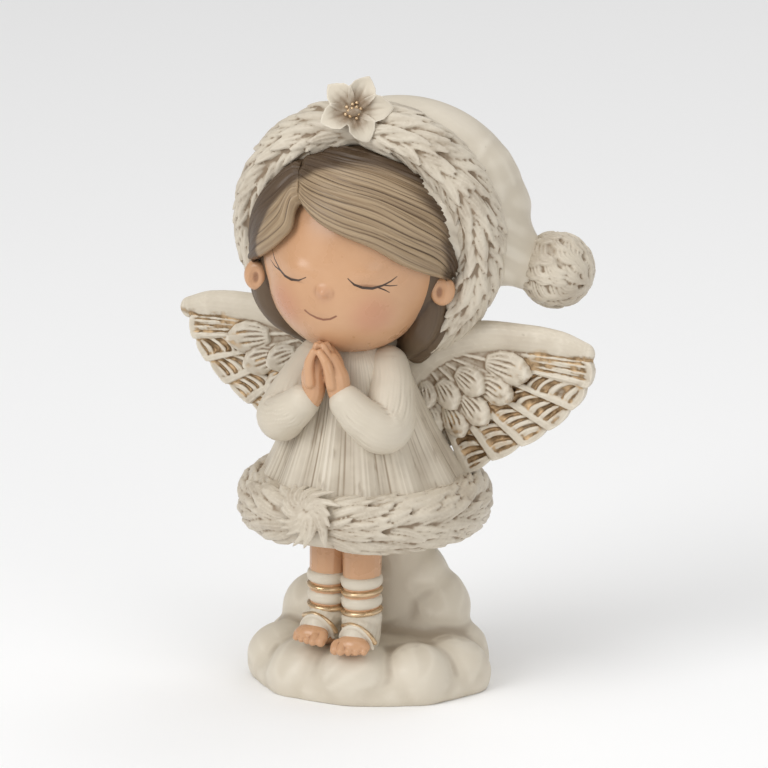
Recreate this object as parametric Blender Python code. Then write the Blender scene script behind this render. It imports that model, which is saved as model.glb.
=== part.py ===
# A praying angel girl in a fur-trimmed winter hat, cast in resin with the cloud that she stands on.
# Metres, +Z up. The figure faces -Y, and the origin is the middle of the cloud's flat underside.
import math

import bmesh
import bpy
from mathutils import Matrix, Vector

# Driving sizes, in metres.
figure_height = 0.165      # from the soles to the tip of the flower on the hat
cloud_width = 0.072        # across the cloud, side to side
cloud_depth = 0.064        # across the cloud, front to back
cloud_height = 0.014       # from the underside to the level where the feet stand
carving_grain = 0.0007     # the smallest form that the casting keeps
facet_count = 9600         # triangles left in the finished solid

# The figure's pose, proportions and carving are shares of its own height.
part = figure_height / 165

# Angles, in degrees.
head_turn = 8              # the face turns to the figure's left
head_roll = 6              # the crown leans to the figure's left
brim_tilt = 10             # the brim's ring leans back from upright


def at(x, y, z):
    """A point of the figure, counted in parts from the middle of where she stands."""
    return Vector((x, y, z)) * part + Vector((0, 0, cloud_height))


head_place = (-1, -11, 106.7)
head_middle = at(*head_place)
head_pose = (
    Matrix.Translation(head_middle)
    @ Matrix.Rotation(math.radians(head_turn), 4, "Z")
    @ Matrix.Rotation(math.radians(head_roll), 4, "Y")
)


def on_head(x, y, z):
    """A point that turns with the head, counted in parts from the head's middle."""
    return head_pose @ (Vector((x, y, z)) * part)


def head_direction(x, y, z):
    return (head_pose.to_3x3() @ Vector((x, y, z))).normalized()


def compass(around, up):
    """The direction at an angle round from the front and one up from level, in degrees."""
    angle, rise = math.radians(around), math.radians(up)
    return Vector((math.sin(angle) * math.cos(rise), -math.cos(angle) * math.cos(rise), math.sin(rise)))


# Shapes that every piece of carving is made of.

def ellipsoid(bm, middle, radii, turn=None, rounds=3):
    """A closed egg of three radii, turned by a rotation matrix."""
    place = Matrix.Translation(middle)
    if turn is not None:
        place = place @ turn.to_4x4()
    shape = place @ Matrix.Diagonal((*radii, 1))
    bmesh.ops.create_icosphere(bm, subdivisions=rounds, radius=1, matrix=shape)


def smooth_path(points, steps):
    """Points along a Catmull-Rom curve through the given ones, `steps` for each span."""
    ends = [2 * points[0] - points[1], *points, 2 * points[-1] - points[-2]]
    path = []
    for before, start, stop, after in zip(ends, ends[1:], ends[2:], ends[3:]):
        for step in range(steps):
            t = step / steps
            path.append(0.5 * (
                2 * start + (stop - before) * t
                + (2 * before - 5 * start + 4 * stop - after) * t ** 2
                + (3 * start - before - 3 * stop + after) * t ** 3
            ))
    return [*path, points[-1].copy()]


def along(values, share):
    """The value at a share, 0 to 1, of the way along a list of evenly spaced ones."""
    place = share * (len(values) - 1)
    left = min(int(place), len(values) - 2)
    return values[left] + (values[left + 1] - values[left]) * (place - left)


def sweep(bm, path, radii, flatness=1.0, facing=None, sides=8):
    """A closed limb of changing radius along a path; `facing` is the side that is flattened."""
    rings = []
    facing = facing or Vector((0.02, -1, 0.03))
    for place, middle in enumerate(path):
        share = place / (len(path) - 1)
        onward = path[min(place + 1, len(path) - 1)] - path[max(place - 1, 0)]
        onward.normalize()
        outward = facing[place] if isinstance(facing, list) else facing
        across = onward.cross(outward).normalized()
        outward = across.cross(onward)
        radius = along(radii, share)
        ring = []
        for side in range(sides):
            angle = math.tau * side / sides
            offset = across * math.cos(angle) + outward * math.sin(angle) * flatness
            ring.append(bm.verts.new(middle + offset * radius))
        rings.append(ring)
    for lower, upper in zip(rings, rings[1:]):
        for side in range(sides):
            after = (side + 1) % sides
            bm.faces.new((lower[side], upper[side], upper[after], lower[after]))
    bm.faces.new(rings[0])
    bm.faces.new(reversed(rings[-1]))


def limb(bm, points, radii, **options):
    """A swept limb through a few points, with rounded ends."""
    path = smooth_path(points, 4)
    sweep(bm, path, radii, **options)
    for end, radius in ((path[0], radii[0]), (path[-1], radii[-1])):
        ellipsoid(bm, end, (radius * 0.98,) * 3, rounds=2)


def lock(bm, surface, places, width, lift, flatness=0.5):
    """A tapered lock of fur, hair or down, laid on a surface through the given places.

    `surface` gives the point and the outward direction for two numbers, and the lock's tip lifts off it.
    """
    route = smooth_path([Vector(place) for place in places], 1 + 4 // (len(places) - 1))
    path = []
    outward = []
    for step, (u, v) in enumerate(route):
        share = step / (len(route) - 1)
        point, normal = surface(u, v)
        path.append(point + normal * lift * (share - 0.15))
        outward.append(normal)
    widths = (0.34, 0.50, 0.52, 0.40, 0.12)
    sweep(bm, path, [width * half for half in widths], flatness, outward, sides=8)


def laurel(bm, surface, start, side, reach, rows, width, lift):
    """Rows of locks that lie like a laurel's leaves and sweep away from an angle to one side of it.

    A row gives where its locks start and end over the surface, and how far ahead round it they end.
    """
    spacing = 16.5
    count = int(reach / spacing) + 1
    for step in range(count):
        for row, (from_over, to_over, ahead) in enumerate(rows):
            begin = start + side * spacing * (step + 0.45 * row)
            halfway = (begin + side * ahead * 0.42, from_over + (to_over - from_over) * 0.62)
            lock(bm, surface, [(begin, from_over), halfway, (begin + side * ahead, to_over)], width, lift)


# The cloud: a ring of round billows, a back billow that carries the skirt, and a filled middle.

billow_sizes = (0.37, 0.32, 0.36, 0.31, 0.37, 0.33, 0.38, 0.34, 0.36)    # shares of the cloud's half width
pillar = ((3, 10, -4), (4, 8, 16), (3, 4, 38))
pillar_radii = (15, 11.5, 9.5)
pillar_billows = (                               # places and radii
    (13, 12, 5.5, 11.5), (-18.5, 6, 2.5, 11), (-6, 15, 6, 12.5), (4, 19, 3, 13), (8.5, 9, 15, 10.5),
)


def carve_cloud(bm):
    half = Vector((cloud_width / 2, cloud_depth / 2, cloud_height))
    for place, share in enumerate(billow_sizes):
        angle = math.tau * (place + 0.3) / len(billow_sizes)
        wide = share * (half.x + half.y) / 2
        middle = Vector((
            (half.x - wide) * math.sin(angle),
            -(half.y - wide) * math.cos(angle),
            half.z * (0.36 + 0.05 * math.sin(3 * angle)),
        ))
        ellipsoid(bm, middle, (wide, wide, half.z * 0.74))
    ellipsoid(bm, Vector((0, 0, half.z * 0.2)), (half.x * 0.92, half.y * 0.92, half.z * 0.83))
    # The billows that rise behind the legs up into the skirt.
    limb(bm, [at(*place) for place in pillar], [radius * part for radius in pillar_radii], sides=16)
    for x, y, z, radius in pillar_billows:
        ellipsoid(bm, at(x, y, z), (radius * part,) * 3)


# Legs with wound bands, and bare toes.

leg_places = ((-5.8, -16, -1), (5.6, -18, 1))    # x, y and the side that each leg is on
leg_radius = 5.6 * part
toe_radii = (2.1, 1.7, 1.6, 1.5, 1.4)            # from the big toe out, in parts
toe_spacing = 2.1
toe_length = 1.7                                 # for each part of its radius
leg_bands = (                                    # height, half width and girth of each
    (21.5, 2.4, 1.2), (16.4, 0.9, 1.24), (12.6, 1.9, 1.1), (8.6, 0.9, 1.22),
)
ankle_height = 5
shin_height = 14
knee_height = 30
heel_to_toes = 9                                 # how far in front of the ankle the toes start


def carve_leg(bm, x, y, side):
    outward = side * 1.5
    limb(bm, [at(x, y, ankle_height - 1), at(x, y, shin_height), at(x * 0.95, y + 1, knee_height)],
         [leg_radius * 0.86, leg_radius, leg_radius * 1.1], sides=14)
    toes_y = y - heel_to_toes
    foot = [at(x, y, ankle_height), at(x + outward * 0.5, y - 4, 3.4), at(x + outward, toes_y, 1.4)]
    limb(bm, foot, [leg_radius * 0.84, leg_radius * 0.86, leg_radius * 0.72],
         flatness=0.8, facing=Vector((0, 0, 1)), sides=12)
    for place, radius in enumerate(toe_radii):
        spread = toe_spacing * (place - 2) * side
        back = 0.8 * abs(place - 1)
        ellipsoid(bm, at(x + outward + spread, toes_y - 3.8 + back, 1.5),
                  Vector((1, toe_length, 1)) * radius * part, rounds=2)
    # The cuff and the gold bands stand proud as rings.
    for z, tall, girth in leg_bands:
        ring = [at(x, y, z - tall), at(x, y, z), at(x, y, z + tall)]
        edge = leg_radius * (girth - 0.06)
        sweep(bm, ring, [edge, leg_radius * girth, edge], sides=16)


# The dress: a turned bell with folds, closed by a thick roll of fur.

dress_middle_y = -4
dress_profile = (                                # height and radius, in parts
    (86, 8), (82, 12.5), (76, 15.5), (68, 18.5), (60, 22), (52, 26), (44, 30), (38, 31), (34, 29), (33, 23),
)
neck_lean = -6                                   # how far the neck is in front of the hem's middle
fold_count = 13
fold_depth = 0.035                               # for each part of the dress's radius
fur_radius = 29.2                                # the hem roll's own centre line
fur_height = 39.6
fur_deep = 6.0
fur_tall = 7.6
rosette_angle = -3                               # where the hem's fur parts, in degrees from the front
rosette_up = 30


def dress_middle(z):
    return dress_middle_y + neck_lean * max(0, (z - fur_height) / 44)


def carve_dress(bm):
    around = 78
    rings = []
    for z, radius in dress_profile:
        depth = fold_depth * max(0, min(1, (80 - z) / 20))
        ring = []
        for place in range(around):
            angle = math.tau * place / around
            fold = 1 + depth * math.cos(fold_count * angle + 0.8 * math.sin(2 * angle))
            ring.append(bm.verts.new(at(
                radius * fold * math.sin(angle),
                dress_middle(z) - 0.94 * radius * fold * math.cos(angle),
                z,
            )))
        rings.append(ring)
    for upper, lower in zip(rings, rings[1:]):
        for place in range(around):
            after = (place + 1) % around
            bm.faces.new((upper[place], lower[place], lower[after], upper[after]))
    bm.faces.new(reversed(rings[-1]))
    bm.faces.new(rings[0])


def hem_surface(around, up):
    """The point and outward direction on the hem's roll, for the angles round it and over it."""
    angle = math.radians(around)
    over = math.radians(up)
    out = Vector((math.sin(angle), -math.cos(angle), 0))
    middle = at(0, dress_middle_y, fur_height) + out * fur_radius * part
    normal = out * math.cos(over) / fur_deep + Vector((0, 0, math.sin(over) / fur_tall))
    point = middle + (out * math.cos(over) * fur_deep + Vector((0, 0, math.sin(over) * fur_tall))) * part
    return point, normal.normalized()


def carve_ring(bm, surface, inside=1.0):
    """A closed roll, a little inside the surface that its locks lie on."""
    around, over = 60, 12
    rings = []
    for place in range(around):
        middle = sum((surface(360 * place / around, 90 * quarter)[0] for quarter in range(4)), Vector()) / 4
        rings.append([
            bm.verts.new(middle + (surface(360 * place / around, 360 * step / over)[0] - middle) * inside)
            for step in range(over)
        ])
    for place, ring in enumerate(rings):
        following = rings[(place + 1) % around]
        for step in range(over):
            after = (step + 1) % over
            bm.faces.new((ring[step], ring[after], following[after], following[step]))


rosette_rays = 11
rosette_reach = (16, 72)                         # how far its locks reach round the roll and over it
rosette_swirl = 0.3
hem_rows = ((16, 80, 21), (6, -68, 22))
hem_reach = 158                                  # how far round each side the locks go, in degrees
hem_lock_width = 7.2
hem_lift = 2.2


def carve_hem(bm):
    carve_ring(bm, hem_surface, 0.9)
    middle = Vector((rosette_angle, rosette_up))
    for ray in range(rosette_rays):
        places = [middle]
        for share, swirl in ((0.55, 0), (1, rosette_swirl)):
            angle = math.tau * ray / rosette_rays - swirl
            places.append(middle + share * Vector((
                rosette_reach[0] * math.cos(angle),
                rosette_reach[1] * math.sin(angle),
            )))
        lock(bm, hem_surface, places, 0.72 * hem_lock_width * part, hem_lift * part)
    for side in (-1, 1):
        start = rosette_angle + side * 0.75 * rosette_reach[0]
        laurel(bm, hem_surface, start, side, hem_reach, hem_rows, hem_lock_width * part, hem_lift * part)


# Arms and praying hands.

arm_paths = {
    -1: ((-11, -12, 81), (-14.5, -18, 73), (-16, -24.5, 67), (-12, -29, 69.5), (-6.5, -29.5, 74)),
    1: ((11, -12, 81), (14, -17, 74), (14.5, -23.5, 66.5), (9.5, -28, 70.5), (3.5, -28.5, 76.5)),
}
arm_radii = (5.8, 6.6, 7.2, 5.8, 4.7)
cuff_radius = 5.1
hands_x = -1.8                                   # where the two palms meet
palm_places = ((3.6, -28.6, 74), (2.9, -28.4, 80), (1.6, -28, 85))    # beside the middle of the hands
palm_radii = (3.2, 3.3, 2.3)
finger_places = ((3.0, 0, 79), (2.4, 0.2, 84), (0.8, 0.5, 88.6))
finger_radii = (1.3, 1.25, 0.9)
finger_rows = ((-31.4, 1.3), (-29.5, 0.4), (-27.6, 0.5), (-25.7, 1.4))    # y, and how much shorter each is
thumb_places = ((2.6, -26, 77), (1.6, -25, 82), (0.8, -25.2, 84.5))
thumb_radii = (1.5, 1.4, 1.0)


def carve_arm(bm, side):
    limb(bm, [at(*place) for place in arm_paths[side]], [radius * part for radius in arm_radii], sides=14)
    x, y, z = palm_places[0]
    cuff = [at(*arm_paths[side][-1]), at(hands_x + side * x, y, z + 2)]
    sweep(bm, cuff, [cuff_radius * part, cuff_radius * 0.96 * part], sides=12)


def carve_hand(bm, side):
    palm = [at(hands_x + side * x, y, z) for x, y, z in palm_places]
    limb(bm, palm, [radius * part for radius in palm_radii], flatness=0.8, facing=Vector((1, 0, 0)), sides=10)
    for row_y, shorter in finger_rows:
        points = [at(hands_x + side * x, row_y + y, z) for x, y, z in finger_places]
        points[-1].z -= shorter * part
        limb(bm, points, [radius * part for radius in finger_radii], sides=6)
    thumb = [at(hands_x + side * x, y, z) for x, y, z in thumb_places]
    limb(bm, thumb, [radius * part for radius in thumb_radii], sides=6)


# The head: face, ears and hair.

face_radii = (23.0, 22.6, 22.8)
skull_radii = (27.2, 24.6, 27)
skull_middle = (0, 2.5, 7.4)
ear_places = ((-27.0, -1, -5.5), (27.2, -1.5, -0.5))
ear_radii = (3.4, 2.4, 4.2)
eyelid_places = ((-10.3, -19.4, 4.0), (10.1, -19.1, 5.9))
eyelid_radii = (4.4, 1.2, 2.4)
nose_place = (-0.8, -22.8, -0.8)
nose_radii = (1.9, 1.9, 1.7)
hair_radii = (28.8, 27.2, 28.8)
under_hat = (30, 24, 30.5)                       # the hair's radii where the brim sits on it
under_hat_middle = (0, 7.5, 9)
# Places on the hair, round the head and up it: the parting, and where each fringe's first, middle and
# last locks pass and end.
parting = ((-28, 31), (-46, 45), (-80, 57))
fringe_turns = {1: ((16, 18), (34, 38), (44, 58)), -1: ((-33, 14), (-58, 24), (-92, 36))}
fringe_ends = {1: ((80, -8), (100, 6), (116, 24)), -1: ((-76, -15), (-98, -2), (-120, 14))}
fringe_locks = {1: 4, -1: 3}
fringe_width = 8.4
fringe_lift = 0.8
back_hair = (                                    # where each strand starts on the head, and its lower end
    ((21.5, 10), (15, 1, 84)), ((22, 12), (13, 6, 80)), ((15, 20), (8, 10, 78)), ((6, 22), (3, 12, 76)),
)
back_hair_radii = (7, 7, 5)


def carve_head(bm):
    turn = head_pose.to_3x3()
    ellipsoid(bm, head_middle, Vector(face_radii) * part, turn, rounds=4)
    ellipsoid(bm, on_head(*skull_middle), Vector(skull_radii) * part, turn, rounds=4)
    ellipsoid(bm, on_head(*nose_place), Vector(nose_radii) * part, turn, rounds=2)
    for places, radii in ((ear_places, ear_radii), (eyelid_places, eyelid_radii)):
        for place in places:
            ellipsoid(bm, on_head(*place), Vector(radii) * part, turn, rounds=2)
    # The neck.
    limb(bm, [at(0, -8, 82), on_head(0, 4, -16)], [9 * part, 11 * part], sides=12)


def hair_surface(around, up):
    outward = compass(around, up)
    x, y, z = (middle + radius * share for middle, radius, share in zip(skull_middle, hair_radii, outward))
    normal = Vector(share / radius for share, radius in zip(outward, hair_radii))
    return on_head(x, y, z), head_direction(*normal)


def carve_hair(bm):
    turn = head_pose.to_3x3()
    ellipsoid(bm, on_head(*under_hat_middle), Vector(under_hat) * part, turn, rounds=4)
    # Each fringe is a fan of locks from the parting to its end beside the face.
    for side, locks in fringe_locks.items():
        for place in range(locks):
            share = place / (locks - 1)
            places = [along([Vector(point) for point in line], share)
                      for line in (parting, fringe_turns[side], fringe_ends[side])]
            lock(bm, hair_surface, places, fringe_width * part, fringe_lift * part)
    # Hair falls from behind the ears on to the shoulders and down the back.
    for side in (-1, 1):
        for (x, y), low in back_hair:
            points = [on_head(side * x, y, 2), on_head(side * (x + 0.5), y - 1, -12)]
            points.append(at(side * low[0], low[1], low[2]))
            limb(bm, points, [radius * part for radius in back_hair_radii], sides=8)


# The hat: a soft crown whose tip droops to the figure's left, a pompom, and a fur brim.

brim_middle = (2.4, 7.5, 7.6)
brim_radius = 35.2
brim_narrowing = 0.16                            # how much less its radius is under the nape
brim_thick = 6.2
brim_wide = 8.0
brim_rows = ((40, 104, 23), (26, -50, 21))
brim_reach = 142
brim_lock_width = 7.0
brim_lift = 2.4
crown_lobes = (((8.5, 19, 16), (34.5, 26, 31)), ((2, 18, 4), (31, 23, 31)))    # middles and radii
tail = ((20, 18, 20), (30, 19, 14.5), (38, 19, 8.5), (45, 20, 5))
tail_radii = (23, 17.8, 12.2, 7.2)
pompom_place = (53, 22, 4.5)
pompom_radius = 10.0
pompom_rows = ((-62, 5), (-32, 7), (-2, 8), (28, 7), (56, 5))    # how far up it, and how many locks
flower_place = (-8, 58)                          # round the brim, and over it
flower_facing = (0.30, -0.86, 0.42)
flower_lift = 2.4
petal_radii = (1.8, 3.5, 4.5, 3.6, 1.2)
petals = (                                       # degrees from the flower's top, and reach
    (20, 10.8), (80, 11.6), (150, 10), (246, 10), (312, 10.2),
)
forehead_locks = (-9, -3, 3, 9)                  # under the flower, in degrees from its middle


def brim_surface(around, over):
    """On the brim's roll: 0 round it is over the forehead; over it, 0 faces forward and 90 outward."""
    angle, lean = math.radians(around), math.radians(brim_tilt)
    turn = math.radians(over)
    top = Vector((0, -math.sin(lean), math.cos(lean)))
    front = Vector((0, -math.cos(lean), -math.sin(lean)))
    out = Vector((1, 0, 0)) * math.sin(angle) + top * math.cos(angle)
    offset = front * brim_wide * math.cos(turn) + out * brim_thick * math.sin(turn)
    normal = front * math.cos(turn) / brim_wide + out * math.sin(turn) / brim_thick
    radius = brim_radius * (1 - brim_narrowing * (1 - math.cos(angle)) / 2)
    return on_head(*(Vector(brim_middle) + out * radius + offset)), head_direction(*normal)


def carve_brim(bm):
    carve_ring(bm, brim_surface, 0.92)
    for side in (-1, 1):
        start = flower_place[0] + side * petals[0][1] * 0.9
        laurel(bm, brim_surface, start, side, brim_reach, brim_rows, brim_lock_width * part, brim_lift * part)


def carve_hat(bm):
    for middle, radii in crown_lobes:
        ellipsoid(bm, on_head(*middle), Vector(radii) * part, head_pose.to_3x3(), rounds=4)
    path = smooth_path([on_head(*place) for place in tail], 5)
    sweep(bm, path, [radius * part for radius in tail_radii], sides=20)


def carve_pompom(bm):
    middle = on_head(*pompom_place)
    ellipsoid(bm, middle, (pompom_radius * part,) * 3)

    def surface(around, up):
        outward = compass(around, up)
        return middle + outward * pompom_radius * part, outward

    for up, count in pompom_rows:
        for place in range(count):
            around = 360 * (place + up / 70) / count
            ahead = 34 / math.cos(math.radians(up))
            lock(bm, surface, [(around, up - 16), (around + ahead, up - 2), (around + ahead, up + 26)],
                 pompom_radius * 0.5 * part, pompom_radius * 0.2 * part)


def carve_flower(bm):
    outward = head_direction(*flower_facing)
    upward = (head_direction(0, 0, 1) - outward * outward.dot(head_direction(0, 0, 1))).normalized()
    across = upward.cross(outward)
    middle = brim_surface(*flower_place)[0] + outward * flower_lift * part
    for turned, length in petals:
        angle = math.radians(turned)
        ray = across * math.sin(angle) + upward * math.cos(angle)
        path = [middle + (ray * length * reach + outward * rise) * part
                for reach, rise in ((0.08, 0.4), (0.34, 1.2), (0.62, 1.8), (0.86, 1.8), (1, 1.4))]
        sweep(bm, path, [radius * part for radius in petal_radii], 0.34, outward, sides=8)
    ellipsoid(bm, middle + outward * 1.2 * part, (2.5 * part,) * 3, rounds=2)
    # Locks come out from under the flower towards the forehead.
    for place in forehead_locks:
        start = flower_place[0] + place * 0.5
        lock(bm, brim_surface, [(start, 40), (start + place * 0.3, 0), (start + place * 0.6, -52)],
             brim_lock_width * part, brim_lift * part)


# The wings: a smooth leading arm, rows of rounded coverts and long fanned flight feathers.

wing_root = (6, 4, 72)
wing_plane = {"root_y": 3.5, "tip_y": 9, "tip_x": 65}
wing_lean = 0.06                                 # how far the sheet goes back for each part below its top
wing_top = 84
wing_reaches = {-1: 0.96, 1: 1.0}                # her right wing is a little the smaller
flight_lengths = {-1: 0.94, 1: 1.01}
wing_arm = ((5, 68), (14, 80), (27, 86.3), (44, 87.8), (55, 87), (62, 85.3))
wing_arm_radii = (8, 6, 5, 4.4, 4.1, 3.2)
wing_blade = ((6, 62), (18, 68), (34, 74), (50, 78))
flight_shape = (3.9, 3.0, 1.2)                   # a feather's half width, thickness, and place in front
covert_shape = (4.9, 2.9, 5.0)
fan_point = (11, 85)                             # the feathers spread from here
flight_tips = (
    (65.5, 84.5), (64, 78.5), (61, 72.5), (57, 67), (51.5, 62), (45.5, 58), (39, 54), (32.5, 50), (26, 46.5),
)
covert_middles = ((43, 80.5), (38, 73.5), (30, 74), (30.5, 65), (24, 62.5), (21.5, 69.5), (16.5, 61.5))


def wing_point(side, x, z, forward=0.0):
    """A point on a wing's sheet, `forward` parts in front of it."""
    reach = wing_reaches[side]
    x = wing_root[0] + (x - wing_root[0]) * reach
    z = wing_top + (z - wing_top) * reach
    share = (x - wing_root[0]) / (wing_plane["tip_x"] - wing_root[0])
    y = wing_plane["root_y"] + (wing_plane["tip_y"] - wing_plane["root_y"]) * share
    y += wing_lean * (wing_top - z)
    return at(side * x, y - forward, z)


def feather(bm, side, root, tip, width, thick, forward):
    """A feather in the wing's sheet from its root to its tip, proud at its middle and at its end."""
    points = []
    for share in (0, 0.35, 0.7, 0.9, 1):
        x = root[0] + (tip[0] - root[0]) * share
        z = root[1] + (tip[1] - root[1]) * share
        points.append(wing_point(side, x, z, forward * (0.55 + 0.45 * share)))
    radii = [width * 0.6, width * 0.9, width, width * 0.86, width * 0.4]
    sweep(bm, points, [radius * part for radius in radii], thick / width, Vector((0, -1, 0)), sides=10)


def carve_wing(bm, side):
    limb(bm, [wing_point(side, x, z, 0.6) for x, z in wing_arm], [radius * part for radius in wing_arm_radii],
         flatness=0.62, facing=Vector((0, -1, 0)), sides=12)
    limb(bm, [wing_point(side, x, z) for x, z in wing_blade], [14 * part, 14 * part, 12 * part, 6 * part],
         flatness=0.14, facing=Vector((0, -1, 0)), sides=14)
    fan = Vector(fan_point)
    for tip in flight_tips:
        root = fan.lerp(Vector(tip), 0.35)
        end = fan.lerp(Vector(tip), flight_lengths[side])
        feather(bm, side, root, end, *flight_shape)
    for middle in covert_middles:
        ray = (Vector(middle) - fan).normalized()
        feather(bm, side, Vector(middle) - ray * 7, Vector(middle) + ray * 5, *covert_shape)


# One casting, painted ivory.

ivory = (0.68, 0.62, 0.53, 1)


def fused(bm):
    """All the carving run together as one closed skin, with nothing left inside it."""
    mesh = bpy.data.meshes.new("carving")
    bmesh.ops.recalc_face_normals(bm, faces=bm.faces)
    bm.to_mesh(mesh)
    bm.free()
    rough = bpy.data.objects.new("carving", mesh)
    bpy.context.collection.objects.link(rough)
    skin = rough.modifiers.new("skin", "REMESH")
    skin.mode = "VOXEL"
    skin.voxel_size = carving_grain
    soften = rough.modifiers.new("soften", "SMOOTH")
    soften.factor = 0.5
    soften.iterations = 1
    bpy.context.view_layer.update()
    whole = bpy.data.meshes.new_from_object(rough.evaluated_get(bpy.context.evaluated_depsgraph_get()))
    bpy.data.objects.remove(rough)
    return whole


def largest_shell(mesh):
    """Keeps the outer skin, which has the most faces, and drops sealed bubbles inside it."""
    bm = bmesh.new()
    bm.from_mesh(mesh)
    unseen = set(bm.verts)
    shells = []
    while unseen:
        shell = [unseen.pop()]
        for vert in shell:
            for edge in vert.link_edges:
                neighbour = edge.other_vert(vert)
                if neighbour in unseen:
                    unseen.remove(neighbour)
                    shell.append(neighbour)
        shells.append(shell)
    shells.sort(key=len)
    for shell in shells[:-1]:
        bmesh.ops.delete(bm, geom=shell, context="VERTS")
    bm.to_mesh(mesh)
    bm.free()


def cast_figure():
    bm = bmesh.new()
    carve_cloud(bm)
    for x, y, side in leg_places:
        carve_leg(bm, x, y, side)
    carve_dress(bm)
    carve_hem(bm)
    carve_head(bm)
    carve_hair(bm)
    carve_brim(bm)
    carve_hat(bm)
    carve_pompom(bm)
    carve_flower(bm)
    for side in (-1, 1):
        carve_arm(bm, side)
        carve_hand(bm, side)
        carve_wing(bm, side)
    mesh = fused(bm)
    largest_shell(mesh)
    figure = bpy.data.objects.new("angel_figurine", mesh)
    bpy.context.collection.objects.link(figure)
    facets = figure.modifiers.new("facets", "DECIMATE")
    facets.ratio = facet_count / (2 * len(mesh.polygons))
    bpy.context.view_layer.update()
    figure.data = bpy.data.meshes.new_from_object(figure.evaluated_get(bpy.context.evaluated_depsgraph_get()))
    figure.modifiers.remove(facets)
    return figure


def cut_underside(figure):
    """Cuts the casting off flat at z = 0, as it stands."""
    bm = bmesh.new()
    bm.from_mesh(figure.data)
    whole = bm.verts[:] + bm.edges[:] + bm.faces[:]
    cut = bmesh.ops.bisect_plane(
        bm, geom=whole, dist=0.00002, plane_co=(0, 0, 0), plane_no=(0, 0, -1), clear_outer=True)
    rim = [piece for piece in cut["geom_cut"] if isinstance(piece, bmesh.types.BMEdge)]
    bmesh.ops.triangle_fill(bm, edges=rim, use_beauty=True, use_dissolve=False)
    bmesh.ops.recalc_face_normals(bm, faces=bm.faces)
    bm.to_mesh(figure.data)
    bm.free()


def paint(figure):
    resin = bpy.data.materials.new("painted_resin")
    resin.use_nodes = True
    shader = resin.node_tree.nodes["Principled BSDF"]
    shader.inputs["Base Color"].default_value = ivory
    shader.inputs["Roughness"].default_value = 0.48
    shader.inputs["Metallic"].default_value = 0.0
    figure.data.materials.append(resin)
    figure.data.shade_smooth()


for leftover in list(bpy.data.objects):
    bpy.data.objects.remove(leftover)
angel = cast_figure()
cut_underside(angel)
paint(angel)
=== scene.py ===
import random
from math import cos, pi, radians, sin, sqrt, tau

import bpy
import numpy as np
from mathutils import Matrix, Vector


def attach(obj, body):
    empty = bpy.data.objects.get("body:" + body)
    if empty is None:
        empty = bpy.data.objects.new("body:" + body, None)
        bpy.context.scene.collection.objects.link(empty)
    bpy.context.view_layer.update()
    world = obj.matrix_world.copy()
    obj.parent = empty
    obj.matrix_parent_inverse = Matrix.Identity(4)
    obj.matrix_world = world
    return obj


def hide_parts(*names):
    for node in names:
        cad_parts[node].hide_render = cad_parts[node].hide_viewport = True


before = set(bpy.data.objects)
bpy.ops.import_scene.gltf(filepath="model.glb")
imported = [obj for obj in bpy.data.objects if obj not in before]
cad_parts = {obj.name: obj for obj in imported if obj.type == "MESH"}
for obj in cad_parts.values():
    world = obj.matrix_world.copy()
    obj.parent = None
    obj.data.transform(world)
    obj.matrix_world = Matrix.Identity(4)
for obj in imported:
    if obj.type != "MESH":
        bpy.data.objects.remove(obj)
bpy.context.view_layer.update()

mm = 0.001
soleHeight = 14  # the cloud's top under her feet


def at(x, y, z):  # millimetres from where she stands
    return Vector((x, y, z + soleHeight)) * mm


headMiddle = at(-1, -11, 106.7)
headPose = (
    Matrix.Translation(headMiddle)
    @ Matrix.Rotation(radians(8), 4, "Z")
    @ Matrix.Rotation(radians(6), 4, "Y")
)
headTurn = headPose.to_3x3()


def onHead(x, y, z):  # millimetres from the head's middle
    return headPose @ (Vector((x, y, z)) * mm)


def headWay(x, y, z):
    return (headTurn @ Vector((x, y, z))).normalized()


def compass(around, up):  # degrees from the front, and up from level
    angle, rise = radians(around), radians(up)
    return Vector((sin(angle) * cos(rise), -cos(angle) * cos(rise), sin(rise)))


# Working tools

def choose(*pieces):
    bpy.ops.object.select_all(action="DESELECT")
    for piece in pieces:
        piece.select_set(True)
    bpy.context.view_layer.objects.active = pieces[0]


def joined(parts):
    choose(*parts)
    bpy.ops.object.join()
    return bpy.context.object


def modify(piece, kind, **settings):  # a modifier, applied at once
    bpy.ops.object.modifier_add(type=kind)
    modifier = piece.modifiers[-1]
    for name, value in settings.items():
        setattr(modifier, name, value)
    bpy.ops.object.modifier_apply(modifier=modifier.name)


def faceOutward(piece):
    choose(piece)
    bpy.ops.object.mode_set(mode="EDIT")
    bpy.ops.mesh.select_all(action="SELECT")
    bpy.ops.mesh.normals_make_consistent(inside=False)
    bpy.ops.object.mode_set(mode="OBJECT")


def settle(piece):  # the place goes into the mesh
    choose(piece)
    bpy.ops.object.transform_apply(location=True, rotation=True, scale=True)
    return piece


def roundMesh(segments, rings):  # this and the next two are shaped point by point later
    bpy.ops.mesh.primitive_uv_sphere_add(segments=segments, ring_count=rings, radius=1, location=(0, 0, 0))
    return bpy.context.object


def ringMesh(around, over, radius, thick):
    bpy.ops.mesh.primitive_torus_add(
        location=(0, 0, 0), major_segments=around, minor_segments=over, major_radius=radius, minor_radius=thick)
    return bpy.context.object


def sheetMesh(columns, rows):
    bpy.ops.mesh.primitive_grid_add(x_subdivisions=columns - 1, y_subdivisions=rows - 1, size=2, location=(0, 0, 0))
    return bpy.context.object


def ball(middle, radii, turn=None, segments=32, rings=16):
    bpy.ops.mesh.primitive_uv_sphere_add(segments=segments, ring_count=rings, radius=1, location=middle)
    piece = bpy.context.object
    piece.scale = [radius * mm for radius in radii]
    if turn is not None:
        piece.rotation_euler = turn.to_euler()
    return settle(piece)


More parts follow.
